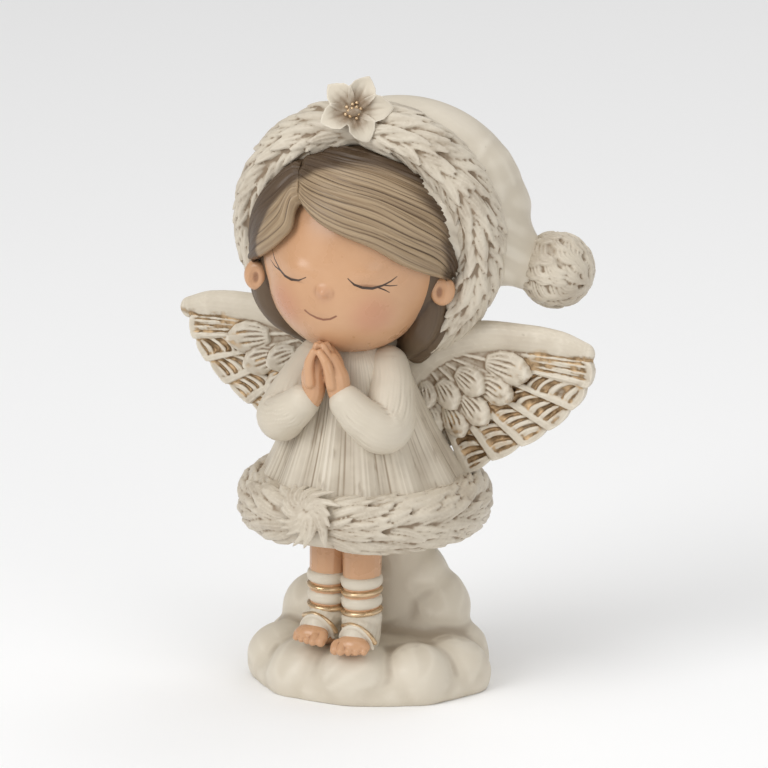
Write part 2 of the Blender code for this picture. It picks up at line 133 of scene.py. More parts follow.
def limb(points, radii, squeeze=1.0, smoothness=5):  # squeeze flattens it front to back
    bpy.ops.curve.primitive_bezier_curve_add(location=(0, 0, 0))
    piece = bpy.context.object
    line = piece.data
    line.splines.clear()
    spline = line.splines.new("BEZIER")
    spline.bezier_points.add(len(points) - 1)
    for knot, point, radius in zip(spline.bezier_points, points, radii):
        knot.co = (point.x, point.y / squeeze, point.z)
        knot.radius = radius
        knot.handle_left_type = knot.handle_right_type = "AUTO"
    line.dimensions = "3D"
    line.bevel_depth = mm
    line.bevel_resolution = smoothness
    line.resolution_u = 10
    line.use_fill_caps = True
    piece.scale = (1, squeeze, 1)
    choose(piece)
    bpy.ops.object.convert(target="MESH")
    tube = settle(bpy.context.object)
    ends = []
    for place in (0, -1):
        radius = radii[place] * 0.98
        ends.append(ball(points[place], (radius, radius * squeeze, radius), segments=20, rings=10))
    return joined([tube, *ends])


def cast(name, parts, grain, soften, most=40000):  # parts run together as one skin
    piece = joined(parts)
    piece.name = piece.data.name = name
    modify(piece, "REMESH", mode="VOXEL", voxel_size=grain * mm)
    modify(piece, "SMOOTH", factor=0.5, iterations=soften)
    triangles = sum(len(side.vertices) - 2 for side in piece.data.polygons)
    if triangles > most:
        modify(piece, "DECIMATE", ratio=most / triangles)
    return piece


def readPoints(piece):
    points = np.empty(len(piece.data.vertices) * 3)
    piece.data.vertices.foreach_get("co", points)
    return points.reshape(-1, 3)


def readNormals(piece):
    normals = np.empty(len(piece.data.vertices) * 3)
    piece.data.vertices.foreach_get("normal", normals)
    return normals.reshape(-1, 3)


def writePoints(piece, points):
    piece.data.vertices.foreach_set("co", np.ascontiguousarray(points, dtype=np.float64).ravel())
    piece.data.update()


def copyOf(blank, points):
    piece = blank.copy()
    piece.data = blank.data.copy()
    bpy.context.collection.objects.link(piece)
    writePoints(piece, points)
    return piece


def throwAway(piece):
    bpy.data.objects.remove(piece)


def fromHead(points):  # millimetres along the head's own axes
    return (points - np.array(headMiddle)) @ np.array(headTurn) / mm


def ramp(values, start, length):  # 0 up to start, then up to 1
    return np.clip((values - start) / length, 0, 1)


def fall(values, stop, length):  # 1, then down to 0 at stop
    return np.clip((stop - values) / length, 0, 1)


def writeShare(piece, name, values):  # a value at each point, for the paint
    share = piece.data.attributes.get(name) or piece.data.attributes.new(name, "FLOAT", "POINT")
    share.data.foreach_set("value", np.asarray(values, dtype=np.float32))


def findRecesses(piece, fine, broad):  # how deep each point lies under its smoothed skin
    mesh = piece.data
    count = len(mesh.vertices)
    ends = np.empty(len(mesh.edges) * 2, dtype=np.int32)
    mesh.edges.foreach_get("vertices", ends)
    first, second = ends.reshape(-1, 2).T
    links = np.maximum(np.bincount(first, minlength=count) + np.bincount(second, minlength=count), 1)
    points, normals = readPoints(piece), readNormals(piece)
    soft = points.copy()
    names = {fine: "recess", broad: "hollow"}
    for step in range(1, broad + 1):
        around = np.empty_like(soft)
        for axis in range(3):
            around[:, axis] = (
                np.bincount(first, weights=soft[second, axis], minlength=count)
                + np.bincount(second, weights=soft[first, axis], minlength=count)
            ) / links
        soft = 0.4 * soft + 0.6 * around
        if step in names:
            writeShare(piece, names[step], ((soft - points) * normals).sum(1) / mm)


def curveThrough(places, steps):  # a smooth line through places
    places = [Vector(place) for place in places]
    ends = [2 * places[0] - places[1], *places, 2 * places[-1] - places[-2]]
    line = []
    for before, start, stop, after in zip(ends, ends[1:], ends[2:], ends[3:]):
        for step in range(steps):
            t = step / steps
            line.append(0.5 * (
                2 * start + (stop - before) * t
                + (2 * before - 5 * start + 4 * stop - after) * t ** 2
                + (3 * start - before - 3 * stop + after) * t ** 3
            ))
    return [*line, places[-1]]


def spreadEvenly(line, count):  # the same line at evenly spaced points
    line = np.array([tuple(point) for point in line])
    lengths = np.concatenate(([0], np.cumsum(np.linalg.norm(np.diff(line, axis=0), axis=1))))
    marks = np.linspace(0, lengths[-1], count)
    return np.stack([np.interp(marks, lengths, line[:, axis]) for axis in range(line.shape[1])], axis=1)


def leafShares(piece):  # how far along a ball's axis its points lie, and their way round it
    x, y, z = readPoints(piece).T
    girth = np.sqrt(np.maximum(1 - z ** 2, 1e-9))
    return (1 - z) / 2, x / girth, y / girth


lock = {"segments": 26, "rings": 12, "ridges": 3, "ridgeDepth": 0.6, "root": 0.3}
roll = {"around": 120, "over": 24, "inside": 0.93}  # how far the fur's core stays inside its skin


def makeBlank(blunt):
    # One leaf-shaped lock: 0 to 1 along X, its ridges on the upper side, closed at both ends.
    blank = roundMesh(lock["segments"], lock["rings"])
    along, y, z = leafShares(blank)
    body = np.maximum(along, 0) ** lock["root"] * np.maximum(1 - along, 0) ** blunt
    body /= body.max()
    ridges = (0.5 - 0.5 * np.cos(lock["ridges"] * pi * y)) * np.minimum(1, 4 * body)
    ridged = np.where(z > 0, 1 - lock["ridgeDepth"] * ridges, 1)
    writePoints(blank, np.stack([along, y * body, z * body * ridged], axis=1))
    return blank


def layLock(blank, surface, places, halfWidth, thick, lift, curl):
    # A copy of the blank laid on a surface, through places on it; its tip lifts off.
    line = spreadEvenly(curveThrough(places, 6), 16)
    spots, ways = zip(*(surface(u, v) for u, v in line))
    spots, ways = np.array(spots), np.array(ways)
    onward = np.gradient(spots, axis=0)
    across = np.cross(onward, ways)
    across /= np.maximum(np.linalg.norm(across, axis=1, keepdims=True), 1e-12)
    form = readPoints(blank)
    marks = np.clip(form[:, 0], 0, 1) * (len(spots) - 1)
    low = np.minimum(marks.astype(int), len(spots) - 2)
    part = (marks - low)[:, None]

    def mix(values):
        return values[low] * (1 - part) + values[low + 1] * part

    normal = mix(ways)
    points = mix(spots) + mix(across) * form[:, 1:2] * halfWidth * mm
    return copyOf(blank, points + normal * (form[:, 2:3] * thick + lift * (form[:, 0:1] - curl)) * mm)


def finish(piece, name, material, fine, broad):
    findRecesses(piece, fine, broad)
    piece.name = piece.data.name = name
    piece.data.materials.clear()
    piece.data.materials.append(material)
    choose(piece)
    bpy.ops.object.shade_smooth()
    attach(piece, "root")
    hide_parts("angel_figurine")
    print(name, len(piece.data.polygons), "faces")


# Paints

class Paint:  # a material with short calls for its nodes

    def __init__(self, name, **sockets):
        self.material = bpy.data.materials.new(name)
        self.material.use_nodes = True
        self.tree = self.material.node_tree
        self.shader = self.tree.nodes["Principled BSDF"]
        for socket, value in sockets.items():
            self.shader.inputs[socket.replace("_", " ")].default_value = value
        self.place = self.add("ShaderNodeTexCoord").outputs["Object"]

    def add(self, kind, **settings):
        node = self.tree.nodes.new(kind)
        for name, value in settings.items():
            setattr(node, name, value)
        return node

    def put(self, socket, value):
        if hasattr(value, "is_output"):
            self.tree.links.new(value, socket)
        else:
            socket.default_value = value

    def sums(self, operation, *values, clamp=False):
        node = self.add("ShaderNodeMath", operation=operation, use_clamp=clamp)
        for socket, value in zip(node.inputs, values):
            self.put(socket, value)
        return node.outputs[0]

    def vector(self, operation, *values):
        node = self.add("ShaderNodeVectorMath", operation=operation)
        for socket, value in zip(node.inputs, values):
            self.put(socket, value)
        return node.outputs["Value"] if operation in ("LENGTH", "DISTANCE", "DOT_PRODUCT") else node.outputs[0]

    def share(self, name):
        return self.add("ShaderNodeAttribute", attribute_name=name).outputs["Fac"]

    def times(self, first, second):
        return self.sums("MULTIPLY", first, second)

    def between(self, value, low, high, start=0.0, stop=1.0):
        node = self.add("ShaderNodeMapRange", interpolation_type="SMOOTHSTEP")
        for socket, number in zip(node.inputs, (value, low, high, start, stop)):
            self.put(socket, number)
        return node.outputs[0]

    def noise(self, scale, detail=3.0, stretch=None, place=None):
        place = place or self.place
        if stretch is not None:
            mapping = self.add("ShaderNodeMapping")
            self.put(mapping.inputs["Vector"], place)
            mapping.inputs["Scale"].default_value = stretch
            place = mapping.outputs[0]
        node = self.add("ShaderNodeTexNoise")
        self.put(node.inputs["Vector"], place)
        node.inputs["Scale"].default_value = scale
        node.inputs["Detail"].default_value = detail
        return node.outputs["Fac"]

    def mix(self, share, first, second):
        node = self.add("ShaderNodeMix", data_type="RGBA")
        for socket, value in ((0, share), (6, first), (7, second)):
            self.put(node.inputs[socket], value)
        return node.outputs[2]

    def brush(self, base, colour, value, low, high, start=0.0, stop=1.0):  # colour where the value is high
        return self.mix(self.between(value, low, high, start, stop), base, paints[colour])

    def colour(self, value):
        self.put(self.shader.inputs["Base Color"], value)

    def roughness(self, value):
        self.put(self.shader.inputs["Roughness"], value)

    def relief(self, height, strength, distance):
        bump = self.add("ShaderNodeBump")
        bump.inputs["Strength"].default_value = strength
        bump.inputs["Distance"].default_value = distance * mm
        self.put(bump.inputs["Height"], height)
        self.put(self.shader.inputs["Normal"], bump.outputs[0])


paints = {
    "ivory": (0.63, 0.562, 0.452, 1),
    "ivoryPaleAndHighlight": (0.725, 0.66, 0.55, 1),  # paler ivory: random patches, and a painted highlight on ridges
    "wash": (0.20, 0.128, 0.068, 1),  # brown, left in the recesses
    "skin": (0.56, 0.31, 0.165, 1),
    "skinLight": (0.61, 0.355, 0.20, 1),
    "skinShade": (0.22, 0.085, 0.035, 1),
    "blush": (0.50, 0.205, 0.125, 1),
    "lash": (0.05, 0.026, 0.014, 1),
    "hair": (0.25, 0.168, 0.095, 1),
    "hairLight": (0.45, 0.335, 0.21, 1),
    "hairDark": (0.06, 0.033, 0.016, 1),
    "gold": (0.58, 0.41, 0.24, 1),
    "goldDark": (0.19, 0.12, 0.06, 1),
    "goldLight": (0.72, 0.55, 0.36, 1),
    "earShade": (0.13, 0.06, 0.028, 1),
    "lips": (0.20, 0.065, 0.03, 1),
    "petalShade": (0.20, 0.125, 0.065, 1),
    "paper": (0.955, 0.955, 0.955, 1),
    "paperLight": (0.97, 0.97, 0.97, 1),
}


washes = {  # gain on fine and on broad recesses, the wash's strength, its stains, and the strength of the painted highlight on ridges
    "smoothIvory": (5.0, 0.9, 0.5, 0.08, 0.75),
    "furIvory": (5.5, 1.7, 0.78, 0.42, 0.35),
    "petalPaint": (9.0, 1.6, 0.75, 0.0, 0.75),
    "combedIvory": (7.0, 1.3, 0.6, 0.34, 0.75),
    "wingPaint": (10.0, 1.8, 0.85, 0.32, 0.75),
}


def washedIvory(name):
    # Ivory with a brown wash in the recesses, a painted highlight on ridges, stains, flecks and scratches.
    paint = Paint(name, Specular_IOR_Level=0.42)
    fineGain, broadGain, tint, stain, ridgeHighlight = washes[name]
    cloudy = paint.noise(45, 4)
    recess = paint.share("recess")
    deep = paint.sums("ADD", paint.times(recess, fineGain), paint.times(paint.share("hollow"), broadGain))
    deep = paint.times(deep, paint.between(cloudy, 0.3, 0.7, 0.7, 1.3))
    base = paint.brush(paints["ivory"], "ivoryPaleAndHighlight", cloudy, 0.3, 0.75, 0, 0.3)
    base = paint.brush(base, "wash", paint.noise(95, 4), 0.35, 0.75, 0.2 * stain, stain)
    # Painted highlight: ridges lighter than the ivory.
    base = paint.brush(base, "ivoryPaleAndHighlight", paint.times(recess, -fineGain), 0.05, 0.6, 0, ridgeHighlight)
    base = paint.brush(base, "wash", deep, 0.0, 1.15, 0, tint)
    base = paint.brush(base, "wash", paint.noise(420, 2), 0.74, 0.82, 0, 0.25)
    base = paint.brush(base, "wash", paint.noise(70, 3, (1.0, 1.0, 0.3)), 0.66, 0.76, 0, 0.3)
    return paint, base


def ivoryPaint(name):
    paint, base = washedIvory(name)
    paint.colour(base)
    paint.roughness(paint.between(paint.noise(90, 3), 0.3, 0.7, 0.38, 0.54))
    paint.relief(paint.noise(900, 3), 0.12, 0.15)
    return paint.material


smoothIvory, furIvory = ivoryPaint("smoothIvory"), ivoryPaint("furIvory")


# The cloud

cloud = {
    "halfWidth": 36, "halfDepth": 32, "height": 14,
    "billows": (0.37, 0.32, 0.36, 0.31, 0.37, 0.33, 0.38, 0.34, 0.36),
    "pillar": ((3, 10, -4), (4, 8, 16), (3, 4, 38)),
    "pillarRadii": (15, 11.5, 9.5),
    "backBillows": ((13, 12, 5.5, 11.5), (-18.5, 6, 2.5, 11), (-6, 15, 6, 12.5), (4, 19, 3, 13), (8.5, 9, 15, 10.5)),
    "fillers": (((6, 11, 7), (14.5, 11.5, 12.5)), ((-2, 12, 0), (26, 17.5, 12.5)), ((-9, 9, 4), (13, 11, 11))),
    "slabs": ((2.8, (34.4, 30.6, 12.4)), (6.6, (32.0, 28.2, 9.0))),
    "dentDepth": 0.42, "flatBelow": 1.5, "grain": 0.8, "smoothings": 36,
}


def makeCloud():
    parts = []
    for place, share in enumerate(cloud["billows"]):
        angle = tau * (place + 0.3) / len(cloud["billows"])
        wide = share * (cloud["halfWidth"] + cloud["halfDepth"]) / 2
        middle = Vector((
            (cloud["halfWidth"] - wide) * sin(angle),
            -(cloud["halfDepth"] - wide) * cos(angle),
            cloud["height"] * (0.36 + 0.05 * sin(3 * angle)),
        ))
        parts.append(ball(middle * mm, (wide, wide, cloud["height"] * 0.74)))
    for z, radii in cloud["slabs"]:
        parts.append(ball(Vector((0, 0, z)) * mm, radii))
    for middle, radii in cloud["fillers"]:
        parts.append(ball(at(*middle), radii))
    parts.append(limb([at(*place) for place in cloud["pillar"]], cloud["pillarRadii"]))
    for x, y, z, radius in cloud["backBillows"]:
        parts.append(ball(at(x, y, z), (radius,) * 3))
    piece = cast("cloudBase", parts, cloud["grain"], cloud["smoothings"])
    choose(piece)
    bpy.ops.object.mode_set(mode="EDIT")
    bpy.ops.mesh.select_all(action="SELECT")
    bpy.ops.mesh.bisect(plane_co=(0, 0, 0.0001), plane_no=(0, 0, -1), use_fill=True, clear_outer=True)
    bpy.ops.object.mode_set(mode="OBJECT")
    points, normals = readPoints(piece), readNormals(piece)
    x, y, z = (points / mm).T
    dent = np.sin(0.31 * x + 0.9 * np.sin(0.21 * z + 0.17 * y))
    dent = dent * np.sin(0.27 * y - 0.33 * z + 1.3 * np.sin(0.19 * x))
    deep = cloud["dentDepth"] * np.clip(dent - 0.25, 0, 1) * ramp(z, cloud["flatBelow"], 4)
    writePoints(piece, points - normals * deep[:, None] * mm)
    finish(piece, "cloudBase", smoothIvory, 6, 60)


# Legs, bare toes, wound bands and gold rings

legs = {
    "places": ((-5.8, -16, -1), (5.6, -18, 1)),
    "radius": 5.6,
    "toes": (1.5, 1.25, 1.2, 1.15, 1.05),
    "toeSpacing": 2.05,
    "raised": {-1: 1.9, 1: 0.7},  # her right foot stands a little higher
    "cuff": (19.7, 1.75, 0.35),  # height, half width and how far it stands out
    "bands": ((13.9, 1.7, 0.2), (8.6, 2.1, 0.15)),
    "goldRings": ((16.8, 0.85, 0.42), (11.1, 0.85, 0.42)),
    "shin": (0.86, 0.92, 1.03), "foot": (4.6, 4.6, 3.2), "footBall": (5.0, 3.3, 2.8),
    "rim": ((-5.2, -4.2, 0.6), (-4.4, -6.4, 4.6), (0.2, -7.8, 7.4), (4.4, -6.8, 4.8), (5.0, -4.8, 1.0)),
    "strap": ((-5.6, -2.0, 5.4), (-4.2, -5.2, 6.6), (0.4, -7.2, 7.6), (4.4, -6.6, 5.6), (5.9, -5.0, 2.8)),
    "rimRadius": 0.6, "strapRadius": 0.75,
}


def makeSkinLegs():
    parts = []
    for x, y, side in legs["places"]:
        up = legs["raised"][side]
        shin = [at(x, y, 4), at(x, y, 14), at(x * 0.95, y + 1, 34)]
        parts.append(limb(shin, [legs["radius"] * share for share in legs["shin"]]))
        toesX, toesY = x + side * 1.1, y - 8.8
        foot = [at(x, y, 5 + up), at(x + side * 0.6, y - 4, 3.6 + up), at(toesX, toesY + 1.2, 2.2 + up)]
        parts.append(limb(foot, legs["foot"]))
        for place, wide in enumerate(legs["toes"]):
            toeX = toesX + legs["toeSpacing"] * (place - 2) * side
            back = 0.75 * abs(place - 1)  # the second toe is the longest
            toe = [at(toeX * 0.3 + toesX * 0.7, toesY, 2.6 + up)]
            toe += [at(toeX, toesY - out + back, z + up) for out, z in ((1.7, 2.5), (3.3, 1.2))]
            parts.append(limb(toe, [wide * 0.8, wide * 0.95, wide]))
        parts.append(ball(at(toesX, toesY + 0.4, 2.3 + up), legs["footBall"]))
    piece = cast("legs", parts, 0.22, 1)
    finish(piece, "legs", skinPaint, 5, 30)


def band(x, y, z, halfWidth, girth, tilt, lean):  # a flat ring round a leg
    inner = legs["radius"] * 0.82
    piece = ringMesh(64, 14, inner, 1)
    points = readPoints(piece)
    ring = np.linalg.norm(points[:, :2], axis=1)
    points[:, :2] *= ((ring + (ring - inner) * (girth - 1)) / ring)[:, None]
    points[:, 2] = np.sign(points[:, 2]) * np.abs(points[:, 2]) ** 0.8 * halfWidth
    points[:, 2] += points[:, 0] * tilt + points[:, 1] * lean
    writePoints(piece, points * mm + np.array(at(x, y, z)))
    return piece


def makeWraps():
    creamParts, goldParts = [], []
    bandKinds = (  # parts, tilt sideways and lean forward
        ([legs["cuff"]], creamParts, 0.03, 0.05),
        (legs["bands"], creamParts, 0.05, 0.04),
        (legs["goldRings"], goldParts, 0.06, 0.04),
    )
    for x, y, side in legs["places"]:
        for bands, into, tilt, lean in bandKinds:
            for z, halfWidth, proud in bands:
                into.append(band(x, y, z, halfWidth, 1 + proud, tilt * side, lean))
        # The wrap over the instep, with its rim round the toes and a gold strap across it.
        up = legs["raised"][side]
        creamParts.append(limb([at(x, y + 0.3, 2.5 + up), at(x, y, 9)], [5.2, 5.6]))
        instep = [at(x, y, 6.4 + up), at(x + side * 0.6, y - 3.6, 4.6 + up), at(x + side * 0.8, y - 5.0, 3.6 + up)]
        creamParts.append(limb(instep, [5.1, 5.0, 4.6]))
        for kind, into in (("rim", creamParts), ("strap", goldParts)):
            route = [at(x + side * 0.8 + px * 0.94, y + py, pz + up) for px, py, pz in legs[kind]]
            into.append(limb(route, [legs[kind + "Radius"]] * len(route)))
    wraps = cast("legWraps", creamParts, 0.3, 1)
    finish(wraps, "legWraps", smoothIvory, 5, 30)
    rings = cast("goldRings", goldParts, 0.22, 1)
    finish(rings, "goldRings", goldPaint, 4, 20)


# The dress: a turned bell with combed folds

dress = {
    "middleY": -4, "neckLean": -6, "hemHeight": 39.6,
    "profile": (  # height and radius, from the neck down
        (87, 7), (86, 8.6), (82, 12.5), (76, 15.5), (68, 18.5), (60, 22),
        (52, 26), (44, 30), (38, 31), (34, 29), (33, 22),
    ),
    "folds": 13, "foldDepth": 0.026,
    "combs": ((104, 0.0, 0.5), (149, 1.9, 0.3), (63, 4.0, 0.35)),  # how many, turned by, weight
    "combDepth": 0.2, "segments": 330, "rings": 92,
}


def makeDress():
    piece = roundMesh(dress["segments"], dress["rings"])
    points = readPoints(piece)
    angle = np.arctan2(points[:, 0], -points[:, 1])
    down = np.arccos(np.clip(points[:, 2], -1, 1)) / pi
    line = spreadEvenly(curveThrough([(r, z) for z, r in dress["profile"]], 8), 200)
    marks = np.linspace(0, 1, len(line))
    radius, height = (np.interp(ramp(down, 0.01, 0.98), marks, line[:, axis]) for axis in (0, 1))
    radius[(down < 0.004) | (down > 0.996)] = 0  # the two poles
    depth = dress["foldDepth"] * fall(height, 80, 20)
    fold = 1 + depth * np.cos(dress["folds"] * angle + 0.8 * np.sin(2 * angle))
    patch = 0.5 + 0.5 * np.sin(3.1 * angle + 1.3) * np.sin(5.3 * angle - 0.6 + height * 0.05)
    comb = np.zeros_like(angle)
    for count, turn, weight in dress["combs"]:
        wander = 2.2 * np.sin(2 * angle + turn + height * 0.03)
        comb += weight * np.sin(count * angle + wander + turn)
    comb = np.minimum(comb, 0.15) * dress["combDepth"] * (0.35 + patch) * ramp(height, 36, 8)
    radius = radius * fold + comb * ramp(radius, 0, 12)
    middleY = dress["middleY"] + dress["neckLean"] * np.maximum(0, (height - dress["hemHeight"]) / 44)
    places = [radius * np.sin(angle), middleY - 0.94 * radius * np.cos(angle), height + soleHeight]
    writePoints(piece, np.stack(places, axis=1) * mm)
    finish(piece, "dress", combedIvory, 5, 40)


# The fur roll round the hem, parted at a whorl

hem = {
    "radius": 29.2, "height": 39.6, "deep": 6.0, "tall": 7.6,
    "whorl": (-3, 32), "whorlReach": (15, 64), "whorlRays": 21,
    "spacing": 5.6, "ahead": 21, "halfWidth": 1.4, "thick": 1.1, "lift": 2.0, "reach": 166,
    "rows": ((112, 20), (88, 30), (60, 24), (34, 20), (10, 16), (-6, -14), (-30, -22), (-56, -22)),  # over and turn
}
furCast = {"softenings": 1, "most": 98000}  # most is in triangles


def hemSurface(around, over):
    angle, rise = radians(around), radians(over)
    out = Vector((sin(angle), -cos(angle), 0))
    middle = at(0, dress["middleY"], hem["height"]) + out * hem["radius"] * mm
    normal = out * cos(rise) / hem["deep"] + Vector((0, 0, sin(rise) / hem["tall"]))
    spot = middle + (out * cos(rise) * hem["deep"] + Vector((0, 0, sin(rise) * hem["tall"]))) * mm
    return np.array(spot), np.array(normal.normalized())


def makeRoll(surface):  # a ring moved onto the roll, as the fur's core
    piece = ringMesh(roll["around"], roll["over"], 1, 0.25)
    points = readPoints(piece)
    turn = np.degrees(np.arctan2(points[:, 0], -points[:, 1]))
    rise = np.degrees(np.arctan2(points[:, 2], np.linalg.norm(points[:, :2], axis=1) - 1))
    places = []
    for u, v in zip(turn, rise):
        middle = sum(surface(u, 90 * quarter)[0] for quarter in range(4)) / 4
        places.append(middle + (surface(u, v)[0] - middle) * roll["inside"])
    writePoints(piece, np.array(places))
    faceOutward(piece)
    return piece


def combedFur(blank, surface, start, side, shape, dice):  # locks that flow away from a parting
    parts = []
    for row, (over, turn) in enumerate(shape["rows"]):
        shift = (0.0, 0.55, 0.25, 0.8)[row % 4]  # so that no two rows line up
        for step in range(int(shape["reach"] / shape["spacing"]) + 1):
            begin = start + side * (shape["spacing"] * (step + shift) + dice.uniform(-1.5, 1.5))
            root = over + dice.uniform(-9, 9)
            turned = turn + dice.uniform(-12, 12)
            reached = shape["ahead"] * dice.uniform(0.75, 1.2)
            bend = dice.uniform(-0.25, 0.25)
            places = [
                (begin, root),
                (begin + side * reached * 0.5, root + turned * (0.5 + bend)),
                (begin + side * reached, root + turned),
            ]
            wide = shape["halfWidth"] * dice.uniform(0.75, 1.2)
            thick = shape["thick"] * dice.uniform(0.8, 1.15)
            parts.append(layLock(blank, surface, places, wide, thick, shape["lift"] * dice.uniform(0.75, 1.2), 0.5))
    return parts


def finishFur(name, parts, grain):
    piece = cast(name, parts, grain, furCast["softenings"], furCast["most"])
    finish(piece, name, furIvory, 4, 24)


def makeHem():
    dice = random.Random(4)
    blank = makeBlank(0.7)
    parts = [makeRoll(hemSurface)]
    middle = Vector(hem["whorl"])
    for ray in range(hem["whorlRays"]):
        places = [middle]
        length = dice.uniform(0.85, 1.35)
        for share, swirl in ((0.45, -0.1), (1, 0.42)):
            angle = tau * (ray + dice.uniform(-0.15, 0.15)) / hem["whorlRays"] - swirl
            way = Vector((hem["whorlReach"][0] * cos(angle), hem["whorlReach"][1] * sin(angle)))
            places.append(middle + share * length * way)
        parts.append(layLock(blank, hemSurface, places, hem["halfWidth"] * dice.uniform(0.85, 1.1), 1.3, 1.5, -0.25))
    for side in (-1, 1):
        start = hem["whorl"][0] + side * hem["whorlReach"][0] * 0.5
        parts.extend(combedFur(blank, hemSurface, start, side, hem, dice))
    throwAway(blank)
    finishFur("hemFur", parts, 0.35)


# Sleeves and praying hands

arms = {
    "paths": {
        -1: ((-11, -12, 81), (-14.5, -18, 73), (-16, -24.5, 66.5), (-12.2, -28, 68.6), (-7.4, -29.2, 72.6)),
        1: ((11, -12, 81), (14.2, -17, 74), (15.2, -23.5, 66), (11.2, -27.6, 68.8), (6.0, -28.8, 73.8)),
    },
    "radii": (5.8, 6.6, 7.2, 6.0, 5.1),
    "creases": ((23, 0.4, 0.5), (37, 2.1, 0.35), (14, 5, 0.4)), "creaseDepth": 0.12,  # how many, turned by, weight
}
hands = {
    "middle": ((75, 0.1), (89, -2.0)),  # height, and where the palms meet across
    "palm": ((7.0, -28.8, 71.5), (4.3, -28.9, 75.5), (3.5, -28.5, 80.5), (2.2, -28, 85)),
    "palmRadii": (3.4, 3.3, 3.6, 2.7),
    "finger": ((3.3, 0, 79), (2.8, 0.2, 84.5), (1.0, 0.5, 89.6)), "fingerRadii": (1.5, 1.45, 1.05),
    "rows": ((-32.0, 1.6), (-29.7, 0.3), (-27.4, 0.4), (-25.2, 1.7)),
    "thumb": ((3.4, -28.2, 77), (2.4, -29.0, 81.5), (1.1, -28.8, 85)), "thumbRadii": (1.75, 1.6, 1.15),
}


def makeSleeves():
    sleeves = []
    for side in (-1, 1):
        route = [at(*place) for place in arms["paths"][side]]
        sleeve = cast("sleeve", [limb(route, arms["radii"], 1.0, 10)], 0.36, 8)
        line = np.array([tuple(point) for point in curveThrough(route, 12)])
        points, normals = readPoints(sleeve), readNormals(sleeve)
        nearest = np.argmin(((points[:, None, :] - line[None, :, :]) ** 2).sum(2), axis=1)
        onward = np.gradient(line, axis=0)
        onward /= np.linalg.norm(onward, axis=1, keepdims=True)
        flat = np.cross(onward, np.array((0.2, -0.3, 1.0)))
        flat /= np.linalg.norm(flat, axis=1, keepdims=True)
        raised = np.cross(flat, onward)
        offset = points - line[nearest]
        angle = np.arctan2((offset * raised[nearest]).sum(1), (offset * flat[nearest]).sum(1))
        share = nearest / (len(line) - 1)
        crease = np.zeros_like(angle)
        for count, turn, weight in arms["creases"]:
            crease += weight * np.sin(count * angle + 3.5 * np.sin(7 * share + turn) + turn)
        fade = np.clip(share * 6, 0, 1) * np.clip((0.97 - share) * 12, 0, 1)
        patch = 0.5 + 0.5 * np.sin(9 * share + 2 * angle)
        raisedBy = np.minimum(crease, 0.25) * arms["creaseDepth"] * fade * (0.35 + patch)
        writePoints(sleeve, points + normals * raisedBy[:, None] * mm)
        sleeves.append(sleeve)
    piece = joined(sleeves)
    finish(piece, "sleeves", smoothIvory, 5, 40)


def makeHands():
    parts = []
    (lowZ, lowX), (highZ, highX) = hands["middle"]

    def placed(side, x, y, z):
        return at(np.interp(z, (lowZ, highZ), (lowX, highX)) + side * x, y, z)

    def addDigit(side, kind):
        parts.append(limb([placed(side, *place) for place in hands[kind]], hands[kind + "Radii"]))

    for side in (-1, 1):
        addDigit(side, "palm")
        for rowY, shorter in hands["rows"]:
            route = [placed(side, x, rowY + y, z) for x, y, z in hands["finger"]]
            route[-1].z -= shorter * mm
            parts.append(limb(route, hands["fingerRadii"]))
        addDigit(side, "thumb")
    piece = cast("hands", parts, 0.26, 2)
    finish(piece, "hands", skinPaint, 5, 30)


# The head: a round doll's face with closed eyes

head = {
    "face": (23.0, 22.6, 22.8), "skull": (27.2, 24.6, 27), "skullMiddle": (0, 2.5, 7.4),
    "nose": ((-0.8, -22.8, -0.8), 1.6, 1.7),  # place, reach and height
    "lids": (((-10.3, -19.8, 4.0), 4.3, 2.5, 0.95), ((10.1, -19.5, 5.9), 4.3, 2.5, 0.95)),
    "bulges": (  # place, half width, half height and how proud
        ((-12.5, -18, -8), 7.5, 6.5, 0.7), ((13.0, -18, -8), 7.5, 6.5, 0.7),  # cheeks
        ((-1, -20, -8.6), 5.5, 0.8, -0.22),  # a crease under the smile
        ((-1, -18, -15), 6, 4, 0.35),  # chin
    ),
    "neck": ((0, -8, 78), (0, -9, 84)), "neckTop": (0, 2, -14), "neckRadii": (8.6, 8.2, 10.5),
    "ears": ((-27.0, -1.2, -5.8), (27.4, -1.6, -0.4)), "ear": (3.5, 2.5, 4.3), "earTurn": 14,
}


